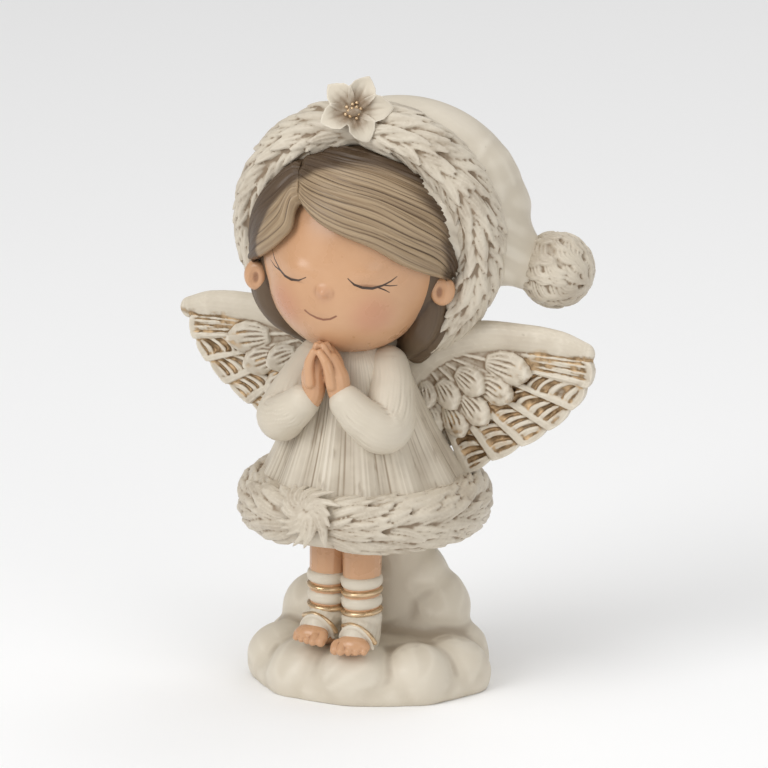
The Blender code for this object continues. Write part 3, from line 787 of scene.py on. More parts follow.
def makeHead():
    # One ball, pushed out where the skull is larger than the face.
    piece = roundMesh(220, 150)
    ways = readPoints(piece)
    ways /= np.linalg.norm(ways, axis=1, keepdims=True)

    def reach(radii, middle):  # how far an egg's skin is along each way
        scaled = ways / np.array(radii)
        offset = np.array(middle) / np.array(radii)
        a = (scaled ** 2).sum(1)
        b = -2 * (scaled * offset).sum(1)
        c = (offset ** 2).sum() - 1
        return (-b + np.sqrt(np.maximum(b * b - 4 * a * c, 0))) / (2 * a)

    face, skull = reach(head["face"], (0, 0, 0)), reach(head["skull"], head["skullMiddle"])
    over = skull - face
    radius = face + np.where(over > 0, over ** 2 / (over + 1.2), 0)
    points = ways * radius[:, None]

    def bulge(middle, wide, tall, height, power=2.0):
        offset = points - np.array(middle)
        across = np.sqrt(offset[:, 0] ** 2 + (0.35 * offset[:, 1]) ** 2) / wide
        return height * np.exp(-(across ** power + np.abs(offset[:, 2] / tall) ** power))

    raised = np.zeros(len(points))
    for middle, wide, tall, height in head["lids"]:
        raised += bulge(middle, wide, tall, height, 2.4)
        lower = (middle[0], middle[1], middle[2] - 3.4)
        raised -= bulge(lower, wide * 0.9, 0.7, 0.28)
    nose, noseReach, noseHeight = head["nose"]
    raised += bulge(nose, noseReach, noseReach * 0.92, noseHeight, 2.3)
    for shape in head["bulges"]:
        raised += bulge(*shape)
    points += ways * np.where(points[:, 1] < 0, raised, 0)[:, None]
    pose = np.array(headPose)
    writePoints(piece, (points * mm) @ pose[:3, :3].T + pose[:3, 3])
    neck = [*(at(*place) for place in head["neck"]), onHead(*head["neckTop"])]
    whole = joined([piece, limb(neck, head["neckRadii"])])
    finish(whole, "head", makeFacePaint(whole), 6, 40)


def makeEars():
    parts = []
    for side, place in zip((-1, 1), head["ears"]):
        piece = roundMesh(48, 32)
        points = readPoints(piece)
        rim = np.sqrt(1.3 * (points[:, 0] + 0.24 * side) ** 2 + 0.75 * (points[:, 2] + 0.05) ** 2)
        bowl = np.exp(-(rim / 0.5) ** 2.6) * (points[:, 1] < 0)
        points[:, 1] += 0.48 * bowl
        points *= np.array(head["ear"]) * mm
        turn = headTurn @ Matrix.Rotation(radians(side * head["earTurn"]), 3, "Z")
        writePoints(piece, points @ np.array(turn).T + np.array(onHead(*place)))
        parts.append(piece)
    piece = joined(parts)
    finish(piece, "ears", earPaint, 6, 30)


# Hair: two combed fringes from a side parting, a cap under the hat and strands behind the ears

hair = {
    "radii": (28.8, 27.2, 28.8), "under": (30, 24, 30.5), "underMiddle": (0, 7.5, 9),
    "lowEdge": {
        1: ((-28, 32), (-20, 27), (-8, 22), (6, 18), (24, 13), (42, 4), (58, -2), (74, -7), (86, -10)),
        -1: ((-28, 32), (-30, 27), (-28, 16), (-33, 8), (-40, 1), (-52, -7), (-68, -14), (-80, -17)),
    },
    "highEdge": {
        1: (
            (-80, 60), (-62, 68), (-25, 74), (25, 73), (64, 62),
            (92, 46), (106, 28), (109, 10), (106, -5), (102, -14),
        ),
        -1: ((-80, 60), (-90, 50), (-100, 36), (-107, 20), (-108, 4), (-105, -10), (-101, -20)),
    },
    "crest": ((-28, 32), (-46, 45), (-80, 60)),
    "thick": 2.3, "sunk": 1.1, "strands": {1: 22, -1: 13}, "strandDepth": 0.36, "locks": {1: 3.4, -1: 2.4},
    "lockDepth": 0.5, "wall": 1.2, "rows": 96, "columns": 112,
    "shadeWithin": 1.8,  # millimetres from the hat's fur over which the hair's painted shade fades in
    "back": (  # three places for each strand behind an ear
        ((24, 4.5, 2), (22, 1.5, -13), (13, -4, 84.5)), ((26, 8.5, 3), (24.5, 6, -13), (14.5, -0.5, 82.5)),
        ((25, 13, 2), (23.5, 10.5, -14), (13.5, 4.5, 80)), ((19, 20, 2), (17.5, 17.5, -14), (10.5, 10, 78)),
        ((11, 25, 2), (10, 23, -14), (6, 13.5, 76)), ((3, 27, 2), (3, 25, -14), (2, 15.5, 75.5)),
    ),
    "backRadii": (5.0, 4.6, 3.4), "backGroove": 0.24,
}


def hairSurface(around, up):
    outward = compass(around, up)
    x, y, z = (middle + radius * share for middle, radius, share in zip(head["skullMiddle"], hair["radii"], outward))
    normal = [share / radius for share, radius in zip(outward, hair["radii"])]
    return np.array(onHead(x, y, z)), np.array(headWay(*normal))


def makeFringe(side):
    # A sheet combed from the parting: one way along the strands, the other way across them.
    def edge(places, count):
        return spreadEvenly(curveThrough([(*place, 0) for place in places], 8), count)

    low, high = (edge(hair[kind][side], hair["rows"]) for kind in ("lowEdge", "highEdge"))
    crest = edge(hair["crest"], hair["columns"])
    piece = sheetMesh(hair["columns"], hair["rows"])
    grid = readPoints(piece)
    across = (grid[:, 0] + 1) / 2  # 0 at the hairline, 1 under the hat
    along = (grid[:, 1] + 1) / 2  # 0 at the parting, 1 at the strands' ends
    if side < 0:
        across = 1 - across

    def pick(line, share):
        marks = np.linspace(0, 1, len(line))
        return np.stack([np.interp(share, marks, line[:, axis]) for axis in (0, 1)], axis=1)

    flow, begin = (
        pick(low, share) * (1 - across)[:, None] + pick(high, share) * across[:, None]
        for share in (along, 0 * along)
    )
    angles = flow + (pick(crest, across) - begin) * ((1 - along) ** 2)[:, None]
    spots, ways = zip(*(hairSurface(u, v) for u, v in angles))
    spots, ways = np.array(spots), np.array(ways)
    # Strands are ridges of uneven width, in a few thick locks, rounded down at the hairline.
    wander = 0.012 * np.sin(5 * along + 9 * across) + 0.008 * np.sin(11 * along - 17 * across)
    mark = across + wander
    strand = np.zeros_like(mark)
    bend = 4 * np.sin(5 * across + 3.2 * along)
    for count, turn, weight in ((1, 0.3, 0.5), (1.7, 2.2, 0.3), (0.55, 4.4, 0.55), (2.7, 1.2, 0.12)):
        strand += weight * np.sin(tau * hair["strands"][side] * count * mark + turn + bend)
    strand = np.minimum(strand, 0.5)
    lockWave = np.sin(tau * hair["locks"][side] * (mark + 0.07 * along) - 0.6)
    rounded, ends = (
        np.sqrt(np.clip(1 - (1 - share) ** 2, 0, 1))
        for share in (ramp(across, 0, 0.10), fall(along, 1, 0.06))
    )
    crestFade = ramp(along, 0, 0.04)
    height = hair["thick"] * rounded * (0.25 + 0.75 * ends) * (0.55 + 0.45 * crestFade) - hair["sunk"]
    height += (strand * hair["strandDepth"] + lockWave * hair["lockDepth"]) * rounded * (0.3 + 0.7 * crestFade)
    writePoints(piece, spots + ways * height[:, None] * mm)
    writeShare(piece, "across", mark)
    writeShare(piece, "along", along)
    faceOutward(piece)
    if (readNormals(piece) * ways).sum(1).mean() < 0:  # an open sheet may come out the other way round
        bpy.ops.object.mode_set(mode="EDIT")
        bpy.ops.mesh.flip_normals()
        bpy.ops.object.mode_set(mode="OBJECT")
    modify(piece, "SOLIDIFY", thickness=hair["wall"] * mm, offset=-1)
    return piece


def findBrimShade(piece):  # painted shade under the hat's fur: 1 where the fur covers the hair
    lean = radians(hat["brimTilt"])
    offset = fromHead(readPoints(piece)) - np.array(hat["brimMiddle"])
    top = offset @ np.array((0, -sin(lean), cos(lean)))
    angle = np.arctan2(offset[:, 0], top)
    inner = hat["brimRadius"] * (1 - hat["brimNarrowing"] * (1 - np.cos(angle)) / 2) - hat["brimThick"]
    depth = (np.hypot(offset[:, 0], top) - inner) / hair["shadeWithin"]
    writeShare(piece, "hairShade", np.clip(depth + 1.0, 0, 2))


def makeHair():
    for side, name in ((1, "fringeLeft"), (-1, "fringeRight")):
        piece = makeFringe(side)
        findBrimShade(piece)
        finish(piece, name, hairPaint, 4, 24)
    # The cap that the hat sits on shows only as an edge, with strands down behind each ear; both are painted dark as
    # shade.
    parts = [ball(onHead(*hair["underMiddle"]), hair["under"], headTurn, 96, 60)]
    for side in (-1, 1):
        for upper, turn, low in hair["back"]:
            ends = [way(side * place[0], *place[1:]) for way, place in ((onHead, upper), (onHead, turn), (at, low))]
            parts.append(limb(ends, hair["backRadii"]))
    piece = cast("backHair", parts, 0.7, 3)
    points, normals = readPoints(piece), readNormals(piece)
    x, y, z = fromHead(points).T
    angle = np.arctan2(x, -y)
    groove = np.sin(62 * angle + 3 * np.sin(0.16 * z)) + 0.6 * np.sin(101 * angle + 2 * np.sin(0.1 * z + 1))
    groove = np.minimum(groove, 0.5) * fall(z, 14, 8) * ramp(y, 4, 4)
    writePoints(piece, points + normals * (hair["backGroove"] * groove)[:, None] * mm)
    # Painted shade: the cap and the strands behind the ears are darkened all over.
    writeShare(piece, "hairShade", np.full(len(points), 1.15))
    writeShare(piece, "across", angle / 1.6)
    writeShare(piece, "along", z / 40)
    finish(piece, "backHair", hairPaint, 4, 24)


# The hat: a soft crown that droops to her left, its pompom, a fur brim and a flower

hat = {
    "brimMiddle": (2.4, 7.5, 7.6), "brimRadius": 35.2, "brimNarrowing": 0.16, "brimTilt": 10,
    "brimThick": 6.2, "brimWide": 8.0,
    "crown": (((8.5, 19, 16), (34.5, 26, 31)), ((2, 18, 4), (31, 23, 31)), ((5.5, 19, 9.5), (33.2, 24.4, 31.4))),
    "front": ((2.4, 13.5, 8.5), (35.0, 12, 34.5)),  # meets the back of the fur
    "tail": ((20, 18, 20), (30, 19, 14.5), (38, 19, 8.5), (45, 20, 5)), "tailRadii": (23, 17.8, 12.2, 7.4),
    "pompom": (53, 22, 4.5), "pompomRadius": 10.0,
    "pompomRows": ((-84, 7), (-62, 13), (-40, 18), (-18, 20), (4, 20), (26, 17), (48, 12)),  # up, and how many
    "puckerDepth": 0.45, "dentDepth": 0.55,
}
brim = {
    "spacing": 5.3, "ahead": 17, "halfWidth": 1.65, "thick": 1.15, "lift": 2.3, "reach": 160,
    "rows": (
        (136, 22), (106, 34), (76, 34), (48, 28), (22, 16), (-4, -4), (-28, -18), (-52, -24), (-78, -16), (-106, -12),
    ),
}
flower = {
    "place": (-8, 58), "facing": (0.30, -0.86, 0.42), "lift": 2.4,
    "petals": ((20, 11.0), (80, 11.6), (150, 10), (246, 10), (312, 10.4)), "halfWidth": 4.0,
    "stamens": 13, "grain": 0.52, "spread": 0.72, "heartShade": 7.5,
}


def brimSurface(around, over):  # 0 over faces forward, 90 outward
    angle, lean, turn = radians(around), radians(hat["brimTilt"]), radians(over)
    top = Vector((0, -sin(lean), cos(lean)))
    front = Vector((0, -cos(lean), -sin(lean)))
    out = Vector((1, 0, 0)) * sin(angle) + top * cos(angle)
    offset = front * hat["brimWide"] * cos(turn) + out * hat["brimThick"] * sin(turn)
    normal = front * cos(turn) / hat["brimWide"] + out * sin(turn) / hat["brimThick"]
    radius = hat["brimRadius"] * (1 - hat["brimNarrowing"] * (1 - cos(angle)) / 2)
    place = Vector(hat["brimMiddle"]) + out * radius + offset
    return np.array(onHead(*place)), np.array(headWay(*normal))


def makeBrim():
    dice = random.Random(11)
    blank = makeBlank(0.7)
    parts = [makeRoll(brimSurface)]
    for side in (-1, 1):
        parts.extend(combedFur(blank, brimSurface, flower["place"][0] + side * 0.5, side, brim, dice))
    throwAway(blank)
    finishFur("brimFur", parts, 0.36)


def makeCrown():
    parts = [ball(onHead(*middle), radii, headTurn, 96, 60) for middle, radii in hat["crown"]]
    middle, radii = hat["front"]
    leaning = headTurn @ Matrix.Rotation(radians(hat["brimTilt"]), 3, "X")
    parts.append(ball(onHead(*middle), radii, leaning, 96, 60))
    parts.append(limb([onHead(*place) for place in hat["tail"]], hat["tailRadii"], 1.0, 14))
    piece = cast("hatCrown", parts, 0.9, 12)
    points, normals = readPoints(piece), readNormals(piece)
    x, y, z = fromHead(points).T
    # Soft puckers where the crown folds over into the tail, and a dent beside them.
    fold = np.exp(-((x - 36) / 9) ** 2 - ((z - 8) / 14) ** 2) * np.sin(0.85 * z + 0.35 * x + 0.25 * y)
    dent = np.exp(-((x - 29) / 2.2) ** 2 - ((z - 24 + 0.6 * (x - 29)) / 7) ** 2) * (y < 20)
    moved = hat["puckerDepth"] * fold - hat["dentDepth"] * dent
    writePoints(piece, points + normals * moved[:, None] * mm)
    finish(piece, "hatCrown", smoothIvory, 6, 60)


def makePompom():
    dice = random.Random(23)
    middle = onHead(*hat["pompom"])
    radius = hat["pompomRadius"]
    blank = makeBlank(0.6)
    turn = headWay(1, -0.25, -0.2).to_track_quat("Z", "X").to_matrix()

    def surface(around, up):
        outward = turn @ compass(around, up)
        return np.array(middle + outward * radius * mm), np.array(outward)

    parts = [ball(middle, (radius * 0.985,) * 3, None, 64, 40)]
    for up, count in hat["pompomRows"]:
        for place in range(count):
            around = 360 * (place + up / 50 + dice.uniform(-0.3, 0.3)) / count
            sway = dice.uniform(8, 30) / cos(radians(up + 15))
            root = up + dice.uniform(-6, 6)
            places = [(around, root), (around + sway, root + 18), (around + sway * 0.8, root + 38)]
            parts.append(layLock(blank, surface, places, 1.65 * dice.uniform(0.8, 1.2), 1.05, 1.4, 0.45))
    throwAway(blank)
    piece = cast("pompom", parts, 0.3, 1)
    finish(piece, "pompom", furIvory, 4, 24)


def makeFlower():
    outward = headWay(*flower["facing"])
    upward = headWay(0, 0, 1)
    upward = (upward - outward * outward.dot(upward)).normalized()
    across = upward.cross(outward)
    middle = Vector(brimSurface(*flower["place"])[0]) + outward * flower["lift"] * mm
    # One petal: an egg with a pointed tip, a cupped face and grooves from its root.
    petal = roundMesh(72, 48)
    along, y, z = leafShares(petal)
    wide = np.interp(along, (0, 0.05, 0.3, 0.52, 0.72, 0.88, 1), (0, 0.36, 0.82, 1, 0.82, 0.42, 0))
    thick = np.interp(along, (0, 0.1, 0.6, 0.92, 1), (0, 0.9, 1, 0.7, 0))
    cup = 2.3 * (y * wide) ** 2 + 1.5 * along - 1.1 * along ** 3
    veins = np.exp(-(y / 0.12) ** 2) + 0.6 * np.exp(-((np.abs(y) - 0.45) / 0.10) ** 2)
    veins = veins * np.clip(1.25 - 1.5 * along, 0, 1) * np.clip(z, 0, 1)
    form = np.stack([along, y * wide, cup + (0.62 * z - 0.75 * veins) * thick], axis=1)
    parts = []
    for turned, length in flower["petals"]:
        angle = radians(turned)
        ray = across * sin(angle) + upward * cos(angle)
        beside = ray.cross(outward)
        places = (
            np.array(middle) + form[:, 0:1] * length * np.array(ray) * mm
            + form[:, 1:2] * flower["halfWidth"] * np.array(beside) * mm + form[:, 2:3] * np.array(outward) * mm)
        parts.append(copyOf(petal, places))
        faceOutward(parts[-1])
    throwAway(petal)
    parts.append(ball(middle + outward * 0.2 * mm, (2.6, 2.6, 1.6), None, 24, 12))
    piece = cast("flower", parts, 0.24, 1)
    points = readPoints(piece)
    near = np.linalg.norm(points - np.array(middle), axis=1) / mm
    # How near each point is to the flower's middle, for painted shade there.
    writeShare(piece, "heartShade", np.clip(1.25 - near / flower["heartShade"], 0, 1))
    finish(piece, "flower", petalPaint, 5, 30)
    seeds = []
    for place in range(flower["stamens"]):  # a sunflower's spiral of grains
        angle, far = place * 2.4, flower["spread"] * sqrt(place)
        offset = across * cos(angle) * far + upward * sin(angle) * far + outward * (1.9 - 0.1 * far ** 2)
        seeds.append(ball(middle + offset * mm, (flower["grain"],) * 3, None, 14, 8))
    grains = joined(seeds)
    finish(grains, "stamens", goldPaint, 2, 4)


# The wings: a smooth leading arm, rounded coverts and long combed flight feathers

wing = {
    "rootX": 6, "rootY": 3.5, "tipY": 9, "tipX": 65, "lean": 0.06, "top": 84,
    "reach": {-1: 0.96, 1: 1.0}, "flight": {-1: 0.94, 1: 1.01},
    "arm": ((5, 68), (14, 80), (27, 86.3), (44, 87.8), (55, 87), (62, 85.3)), "armRadii": (8, 6, 5, 4.4, 4.1, 3.2),
    "blade": ((6, 62), (18, 68), (34, 74), (50, 78)), "bladeRadii": (14, 14, 12, 6),
    "fan": (11, 85), "lobes": 6, "teeth": 5.2, "toothDepth": 0.95,
    "flightTips": ((65.5, 83.5), (63.8, 75.8), (59, 68.8), (52, 62.2), (43.8, 56.8), (35, 51.8), (26.5, 47)),
    "flightThick": 2.6,
    "coverts": (
        ((41.5, 79.6), 4.9, 14.5), ((37.5, 73.0), 4.6, 11.5), ((30.0, 74.6), 4.2, 10.5), ((31.0, 66.4), 4.3, 11),
        ((25, 62.6), 3.9, 10.5), ((23, 70.0), 3.9, 9.5), ((17.5, 61.5), 3.7, 10.5), ((16.6, 69.5), 3.2, 8),
    ),
    "covertThick": 2.3, "covertForward": 4.4, "grain": 0.3, "most": 75000,
    "flightRows": 230, "flightColumns": 300, "flightStart": 0.26,
}


def wingPoint(side, x, z, forward=0.0):  # x and z may be arrays
    reach = wing["reach"][side]
    x = wing["rootX"] + (x - wing["rootX"]) * reach
    z = wing["top"] + (z - wing["top"]) * reach
    share = (x - wing["rootX"]) / (wing["tipX"] - wing["rootX"])
    y = wing["rootY"] + (wing["tipY"] - wing["rootY"]) * share + wing["lean"] * (wing["top"] - z)
    return np.stack([side * x, y - forward, z + soleHeight], axis=-1) * mm


def makeCovertBlank():
    # X runs 0 to 1 from the quill's root to the pointed tip, Y across, and the face is towards +Z.
    blank = roundMesh(64, 56)
    along, y, z = leafShares(blank)
    wide = np.interp(along, (0, 0.06, 0.3, 0.55, 0.76, 0.91, 1), (0, 0.45, 0.86, 1, 0.84, 0.45, 0))
    rays = np.zeros_like(y)
    for middle, reach in ((-0.66, 0.50), (-0.34, 0.68), (0.02, 0.60), (0.36, 0.72), (0.70, 0.52)):
        rays += np.exp(-((y - middle - 0.12 * along) / 0.07) ** 2) * np.clip((reach - along) * 5, 0, 1)
    face = 1 - 0.62 * np.clip(rays, 0, 1) * np.clip((along - 0.08) * 8, 0, 1)
    face += 0.22 * np.clip(along - 0.45, 0, 1)
    thick = np.interp(along, (0, 0.08, 0.5, 0.9, 0.97, 1), (0, 0.6, 0.9, 1, 0.7, 0))
    rim = np.sqrt(np.clip(1 - y * y, 0, 1)) * 0.3 + 0.7 * np.abs(z)
    depth = np.sign(z) * rim * thick * np.where(z > 0, face, 0.8)
    writePoints(blank, np.stack([along, y * wide, depth], axis=1))
    return blank


def flightPlaces(x, z):
    # Where points of the wing lie in its fan of lobes: which lobe, and how far out along it.
    fan, tips = np.array(wing["fan"]), np.array(wing["flightTips"])
    ways = np.degrees(np.arctan2(tips[:, 1] - fan[1], tips[:, 0] - fan[0]))
    far = np.linalg.norm(tips - fan, axis=1)
    way = np.degrees(np.arctan2(z - fan[1], x - fan[0]))
    marks = np.interp(-way, -ways, np.linspace(0, wing["lobes"], len(tips)))
    return marks, np.hypot(x - fan[0], z - fan[1]) / np.interp(-way, -ways, far)


def splitLobes(lobe):  # the share of the way through a lobe, and its number
    number = np.floor(np.minimum(lobe, wing["lobes"] - 0.001))
    return lobe - number, number


def flightRelief(lobe, out):
    # Each lobe is a smooth raised rim on its lower side and curved comb teeth on the rest.
    part, number = splitLobes(lobe)
    rim = ramp(part, 0.68, 0.1) * fall(part, 1.0, 0.05)
    toothed = ramp(part, 0, 0.06) * fall(part, 0.76 + 0.05 * np.sin(31 * out + 3 * number), 0.07)
    toothed = toothed * ramp(out - 0.56, 0.03 * np.sin(2.3 * number), 0.06) * fall(out, 0.97, 0.04)
    phase = wing["teeth"] * 2.7 * (out - 0.5) + 2.3 * part - 2.1 * part ** 2
    phase = phase + 0.37 * number + 0.16 * np.sin(23 * out + 2 * number)
    groove = np.clip(np.sin(tau * phase) + 0.25 * np.sin(9 * out + number) + 0.5, 0, 1) ** 0.8
    groove = groove * (0.5 + 0.5 * np.sin(pi * np.clip(part / 0.76, 0, 1)))
    streaks = 0.5 + 0.3 * np.sin(tau * (part * 3.4 + 1.1 * out))
    streaks = streaks + 0.2 * np.sin(tau * (part * 7.3 - 0.7 * out))
    streaks = streaks * ramp(out, 0.66, 0.1) * fall(out, 0.97, 0.03) * 0.55
    cut = np.where(number < 1, streaks, groove * toothed)  # the tip's streaks follow the leading edge
    return 0.35 * rim + 0.25 * part - wing["toothDepth"] * cut, cut


def makeFlight(side):
    piece = sheetMesh(wing["flightColumns"], wing["flightRows"])
    grid = (readPoints(piece) + 1) / 2
    lobe, out = grid[:, 0] * wing["lobes"], grid[:, 1] * (1 - wing["flightStart"]) + wing["flightStart"]
    fan, tips = np.array(wing["fan"]), np.array(wing["flightTips"])
    marks = np.linspace(0, wing["lobes"], len(tips))
    scallop = 1 - 0.022 * np.abs(2 * splitLobes(lobe)[0] - 1.15) ** 2.2
    far = wing["flight"][side] * out * (1 - (1 - scallop) * out ** 4)
    x, z = (fan[axis] + (np.interp(lobe, marks, tips[:, axis]) - fan[axis]) * far for axis in (0, 1))
    writePoints(piece, wingPoint(side, x, z, 1.0 + 0.8 * out))
    writeShare(piece, "relief", flightRelief(lobe, out)[0])
    modify(piece, "SOLIDIFY", thickness=wing["flightThick"] * mm, offset=0, use_even_offset=False)
    relief = np.empty(len(piece.data.vertices), dtype=np.float32)
    piece.data.attributes["relief"].data.foreach_get("value", relief)
    points, facing = readPoints(piece), readNormals(piece)[:, 1]
    points[:, 1] += np.where(facing < 0, -1, 0.3) * np.clip(np.abs(facing) * 2, 0, 1) * relief * mm
    writePoints(piece, points)
    faceOutward(piece)
    return piece


def placeFeather(blank, side, root, tip, halfWidth):
    form = readPoints(blank)
    ray = (tip - root) / np.linalg.norm(tip - root)
    beside = np.array((-ray[1], ray[0]))
    flat = root + form[:, 0:1] * (tip - root) + form[:, 1:2] * halfWidth * beside
    front = wing["covertForward"] * (0.55 + 0.45 * form[:, 0]) + form[:, 2] * wing["covertThick"]
    piece = copyOf(blank, wingPoint(side, flat[:, 0], flat[:, 1], front))
    faceOutward(piece)
    return piece


def makeWing(side, name):
    blank = makeCovertBlank()
    arm = [Vector(wingPoint(side, x, z, 0.6)) for x, z in wing["arm"]]
    blade = [Vector(wingPoint(side, x, z)) for x, z in wing["blade"]]
    parts = [limb(arm, wing["armRadii"], 0.62, 8), limb(blade, wing["bladeRadii"], 0.14, 8), makeFlight(side)]
    fan = np.array(wing["fan"])
    for middle, halfWidth, length in wing["coverts"]:
        middle = np.array(middle)
        ray = (middle - fan) / np.linalg.norm(middle - fan)
        parts.append(placeFeather(blank, side, middle - ray * length * 0.58, middle + ray * length * 0.46, halfWidth))
    throwAway(blank)
    piece = cast(name, parts, wing["grain"], 1, wing["most"])
    points = readPoints(piece)
    x, z = np.abs(points[:, 0]) / mm, points[:, 2] / mm - soleHeight
    x = wing["rootX"] + (x - wing["rootX"]) / wing["reach"][side]
    z = wing["top"] + (z - wing["top"]) / wing["reach"][side]
    lobe, out = flightPlaces(x, z)
    out = out / wing["flight"][side]
    gild = (0.7 + 0.3 * flightRelief(lobe, out)[1]) * ramp(out, 0.54, 0.1) * fall(out, 1.0, 0.05) * (z < 84.5)
    gild = gild * np.maximum(fall(splitLobes(lobe)[0], 0.82, 0.08), 0.2)
    streak = np.exp(-((z - 85.3 + 0.06 * (x - 50)) / 1.7) ** 2) * ramp(x, 42, 10)
    writeShare(piece, "gild", np.clip(np.maximum(gild, streak), 0, 1))
    finish(piece, name, wingPaint, 4, 24)


# The rest of the paints

def skinPaintOf(name):
    paint = Paint(name, Specular_IOR_Level=0.5)
    base = paint.brush(paints["skin"], "skinLight", paint.noise(60, 3), 0.3, 0.75)
    deep = paint.sums("ADD", paint.times(paint.share("recess"), 4.5), paint.times(paint.share("hollow"), 1.4))
    base = paint.brush(base, "skinShade", deep, 0.05, 0.9, 0, 0.8)
    paint.roughness(paint.between(paint.noise(120, 3), 0.3, 0.7, 0.24, 0.36))
    paint.relief(paint.noise(700, 2), 0.08, 0.12)
    return paint, base


def makeSkinPaint():
    paint, base = skinPaintOf("skinPaint")
    paint.colour(base)
    return paint.material


def makeEarPaint():
    paint, base = skinPaintOf("earPaint")
    # Painted shade darkens the ear's hollow.
    paint.colour(paint.brush(base, "earShade", paint.share("hollow"), 0.02, 0.7, 0, 0.4))
    return paint.material


face = {  # degrees round the face and up it, then the stroke's radii
    "bold": 1.3,
    "strokes": (
        (
            ((-48, 7.5), (-44, 4.2), (-37, 1.6), (-30, 0.8), (-23, 2.2), (-17, 5.8)),
            (0.10, 0.24, 0.27, 0.26, 0.20, 0.09),
        ),
        (((-45, 5), (-51, 9.5), (-55, 14.5)), (0.16, 0.14, 0.06)),
        (((-43, 3.6), (-50, 4.4), (-57, 7)), (0.16, 0.13, 0.06)),
        (
            ((14, 10.5), (19, 6.6), (25, 4.9), (32, 4.7), (39, 6.8), (45, 10), (49, 13)),
            (0.09, 0.22, 0.27, 0.27, 0.22, 0.15, 0.06),
        ),
        (((36, 5.6), (41, 3.8), (45, 1.8)), (0.16, 0.13, 0.06)),
        (((40, 7.2), (45, 6.6), (50, 6.8)), (0.15, 0.12, 0.06)),
    ),
    "mouth": (
        ((-16.5, -18.8), (-13, -21.4), (-7.5, -23.4), (-2, -23.9), (3.5, -22.4), (8, -18.8)),
        (0.17, 0.17, 0.19, 0.19, 0.17, 0.15),
    ),
    "blush": (  # place, outer and inner radius, strength
        ((35, -16), 9.5, 1.5, 0.5), ((-38, -19), 9.5, 1.5, 0.5), ((-2, -3), 4.5, 1.0, 0.22),
    ),
}


def makeFacePaint(piece):
    paint, base = skinPaintOf("facePaint")
    piece.data.update()
    bpy.context.view_layer.update()

    def onFace(around, up):
        return piece.ray_cast(headMiddle, headWay(*compass(around, up)))[1]

    def lower(first, second):
        return second if first is None else paint.sums("MINIMUM", first, second)

    def nearness(places, radii):  # metres outside a painted stroke
        nearest = None
        spots = [onFace(*place) for place in places]
        for start, stop, thin, thick in zip(spots, spots[1:], radii, radii[1:]):
            way = stop - start
            offset = paint.vector("SUBTRACT", paint.place, tuple(start))
            part = paint.vector("DOT_PRODUCT", offset, tuple(way))
            part = paint.sums("MULTIPLY", part, 1 / way.length_squared, clamp=True)
            scaled = paint.add("ShaderNodeVectorMath", operation="SCALE")
            scaled.inputs[0].default_value = tuple(way)
            paint.put(scaled.inputs["Scale"], part)
            apart = paint.vector("LENGTH", paint.vector("SUBTRACT", offset, scaled.outputs[0]))
            wide = paint.sums("MULTIPLY_ADD", part, (thick - thin) * face["bold"] * mm, thin * face["bold"] * mm)
            nearest = lower(nearest, paint.sums("SUBTRACT", apart, wide))
        return nearest

    for place, outer, inner, strength in face["blush"]:
        apart = paint.vector("DISTANCE", paint.place, tuple(onFace(*place)))
        base = paint.brush(base, "blush", apart, outer * mm, inner * mm, 0, strength)
    lashes = None
    for places, radii in face["strokes"]:
        lashes = lower(lashes, nearness(places, radii))
    base = paint.brush(base, "lash", lashes, 0.10 * mm, -0.05 * mm)
    paint.colour(paint.brush(base, "lips", nearness(*face["mouth"]), 0.22 * mm, -0.05 * mm, 0, 0.85))
    return paint.material


def makeHairPaint():
    paint = Paint("hairPaint", Specular_IOR_Level=0.42)
    recess = paint.share("recess")
    flow = paint.add("ShaderNodeCombineXYZ")  # across the strands and along them
    paint.put(flow.inputs[0], paint.share("across"))
    paint.put(flow.inputs[1], paint.share("along"))
    flow = flow.outputs[0]
    brushed = paint.noise(1.0, 3, (70, 2.2, 1), flow)
    broad = paint.noise(1.0, 2, (19, 1.3, 1), flow)
    base = paint.brush(paints["hair"], "hairLight", broad, 0.35, 0.65, 0, 0.6)
    base = paint.brush(base, "hairLight", brushed, 0.50, 0.68, 0, 0.6)
    base = paint.brush(base, "hairDark", brushed, 0.46, 0.30, 0, 0.55)
    # Painted highlight: the strands' ridges lighter.
    base = paint.brush(base, "hairLight", paint.times(recess, -1), -0.01, 0.08, 0, 0.35)
    hollow = paint.between(paint.share("hollow"), 0.04, 0.4, 0, 0.6)
    deep = paint.sums("ADD", paint.between(recess, 0.0, 0.10, 0, 0.6), hollow)
    base = paint.brush(base, "hairDark", deep, 0.0, 1.1, 0, 0.8)
    # Painted shade: darker where the hat's fur covers the hair, and all over the cap and the strands behind the ears.
    paint.colour(paint.brush(base, "hairDark", paint.share("hairShade"), 0.5, 1.3, 0, 0.9))
    paint.roughness(paint.between(brushed, 0.3, 0.7, 0.36, 0.5))
    paint.relief(brushed, 0.3, 0.2)
    return paint.material


def makeGoldPaint():
    paint = Paint("goldPaint", Metallic=0.9)
    cloudy = paint.noise(300, 3)
    base = paint.brush(paints["gold"], "goldLight", cloudy, 0.35, 0.7)
    paint.colour(paint.brush(base, "goldDark", paint.times(paint.share("recess"), 4), 0.05, 0.6, 0, 0.8))
    paint.roughness(paint.between(cloudy, 0.3, 0.75, 0.24, 0.42))
    paint.relief(cloudy, 0.25, 0.12)
    return paint.material


def makePetalPaint():
    paint, base = washedIvory("petalPaint")
    # Painted shade darkens the petals towards the flower's heart.
    heartShade = paint.times(paint.share("heartShade"), paint.between(paint.noise(260, 3), 0.2, 0.8, 0.6, 1.3))
    paint.colour(paint.brush(base, "petalShade", heartShade, 0.15, 0.85, 0, 0.85))
    paint.roughness(paint.between(paint.noise(90, 3), 0.3, 0.7, 0.40, 0.55))
    return paint.material


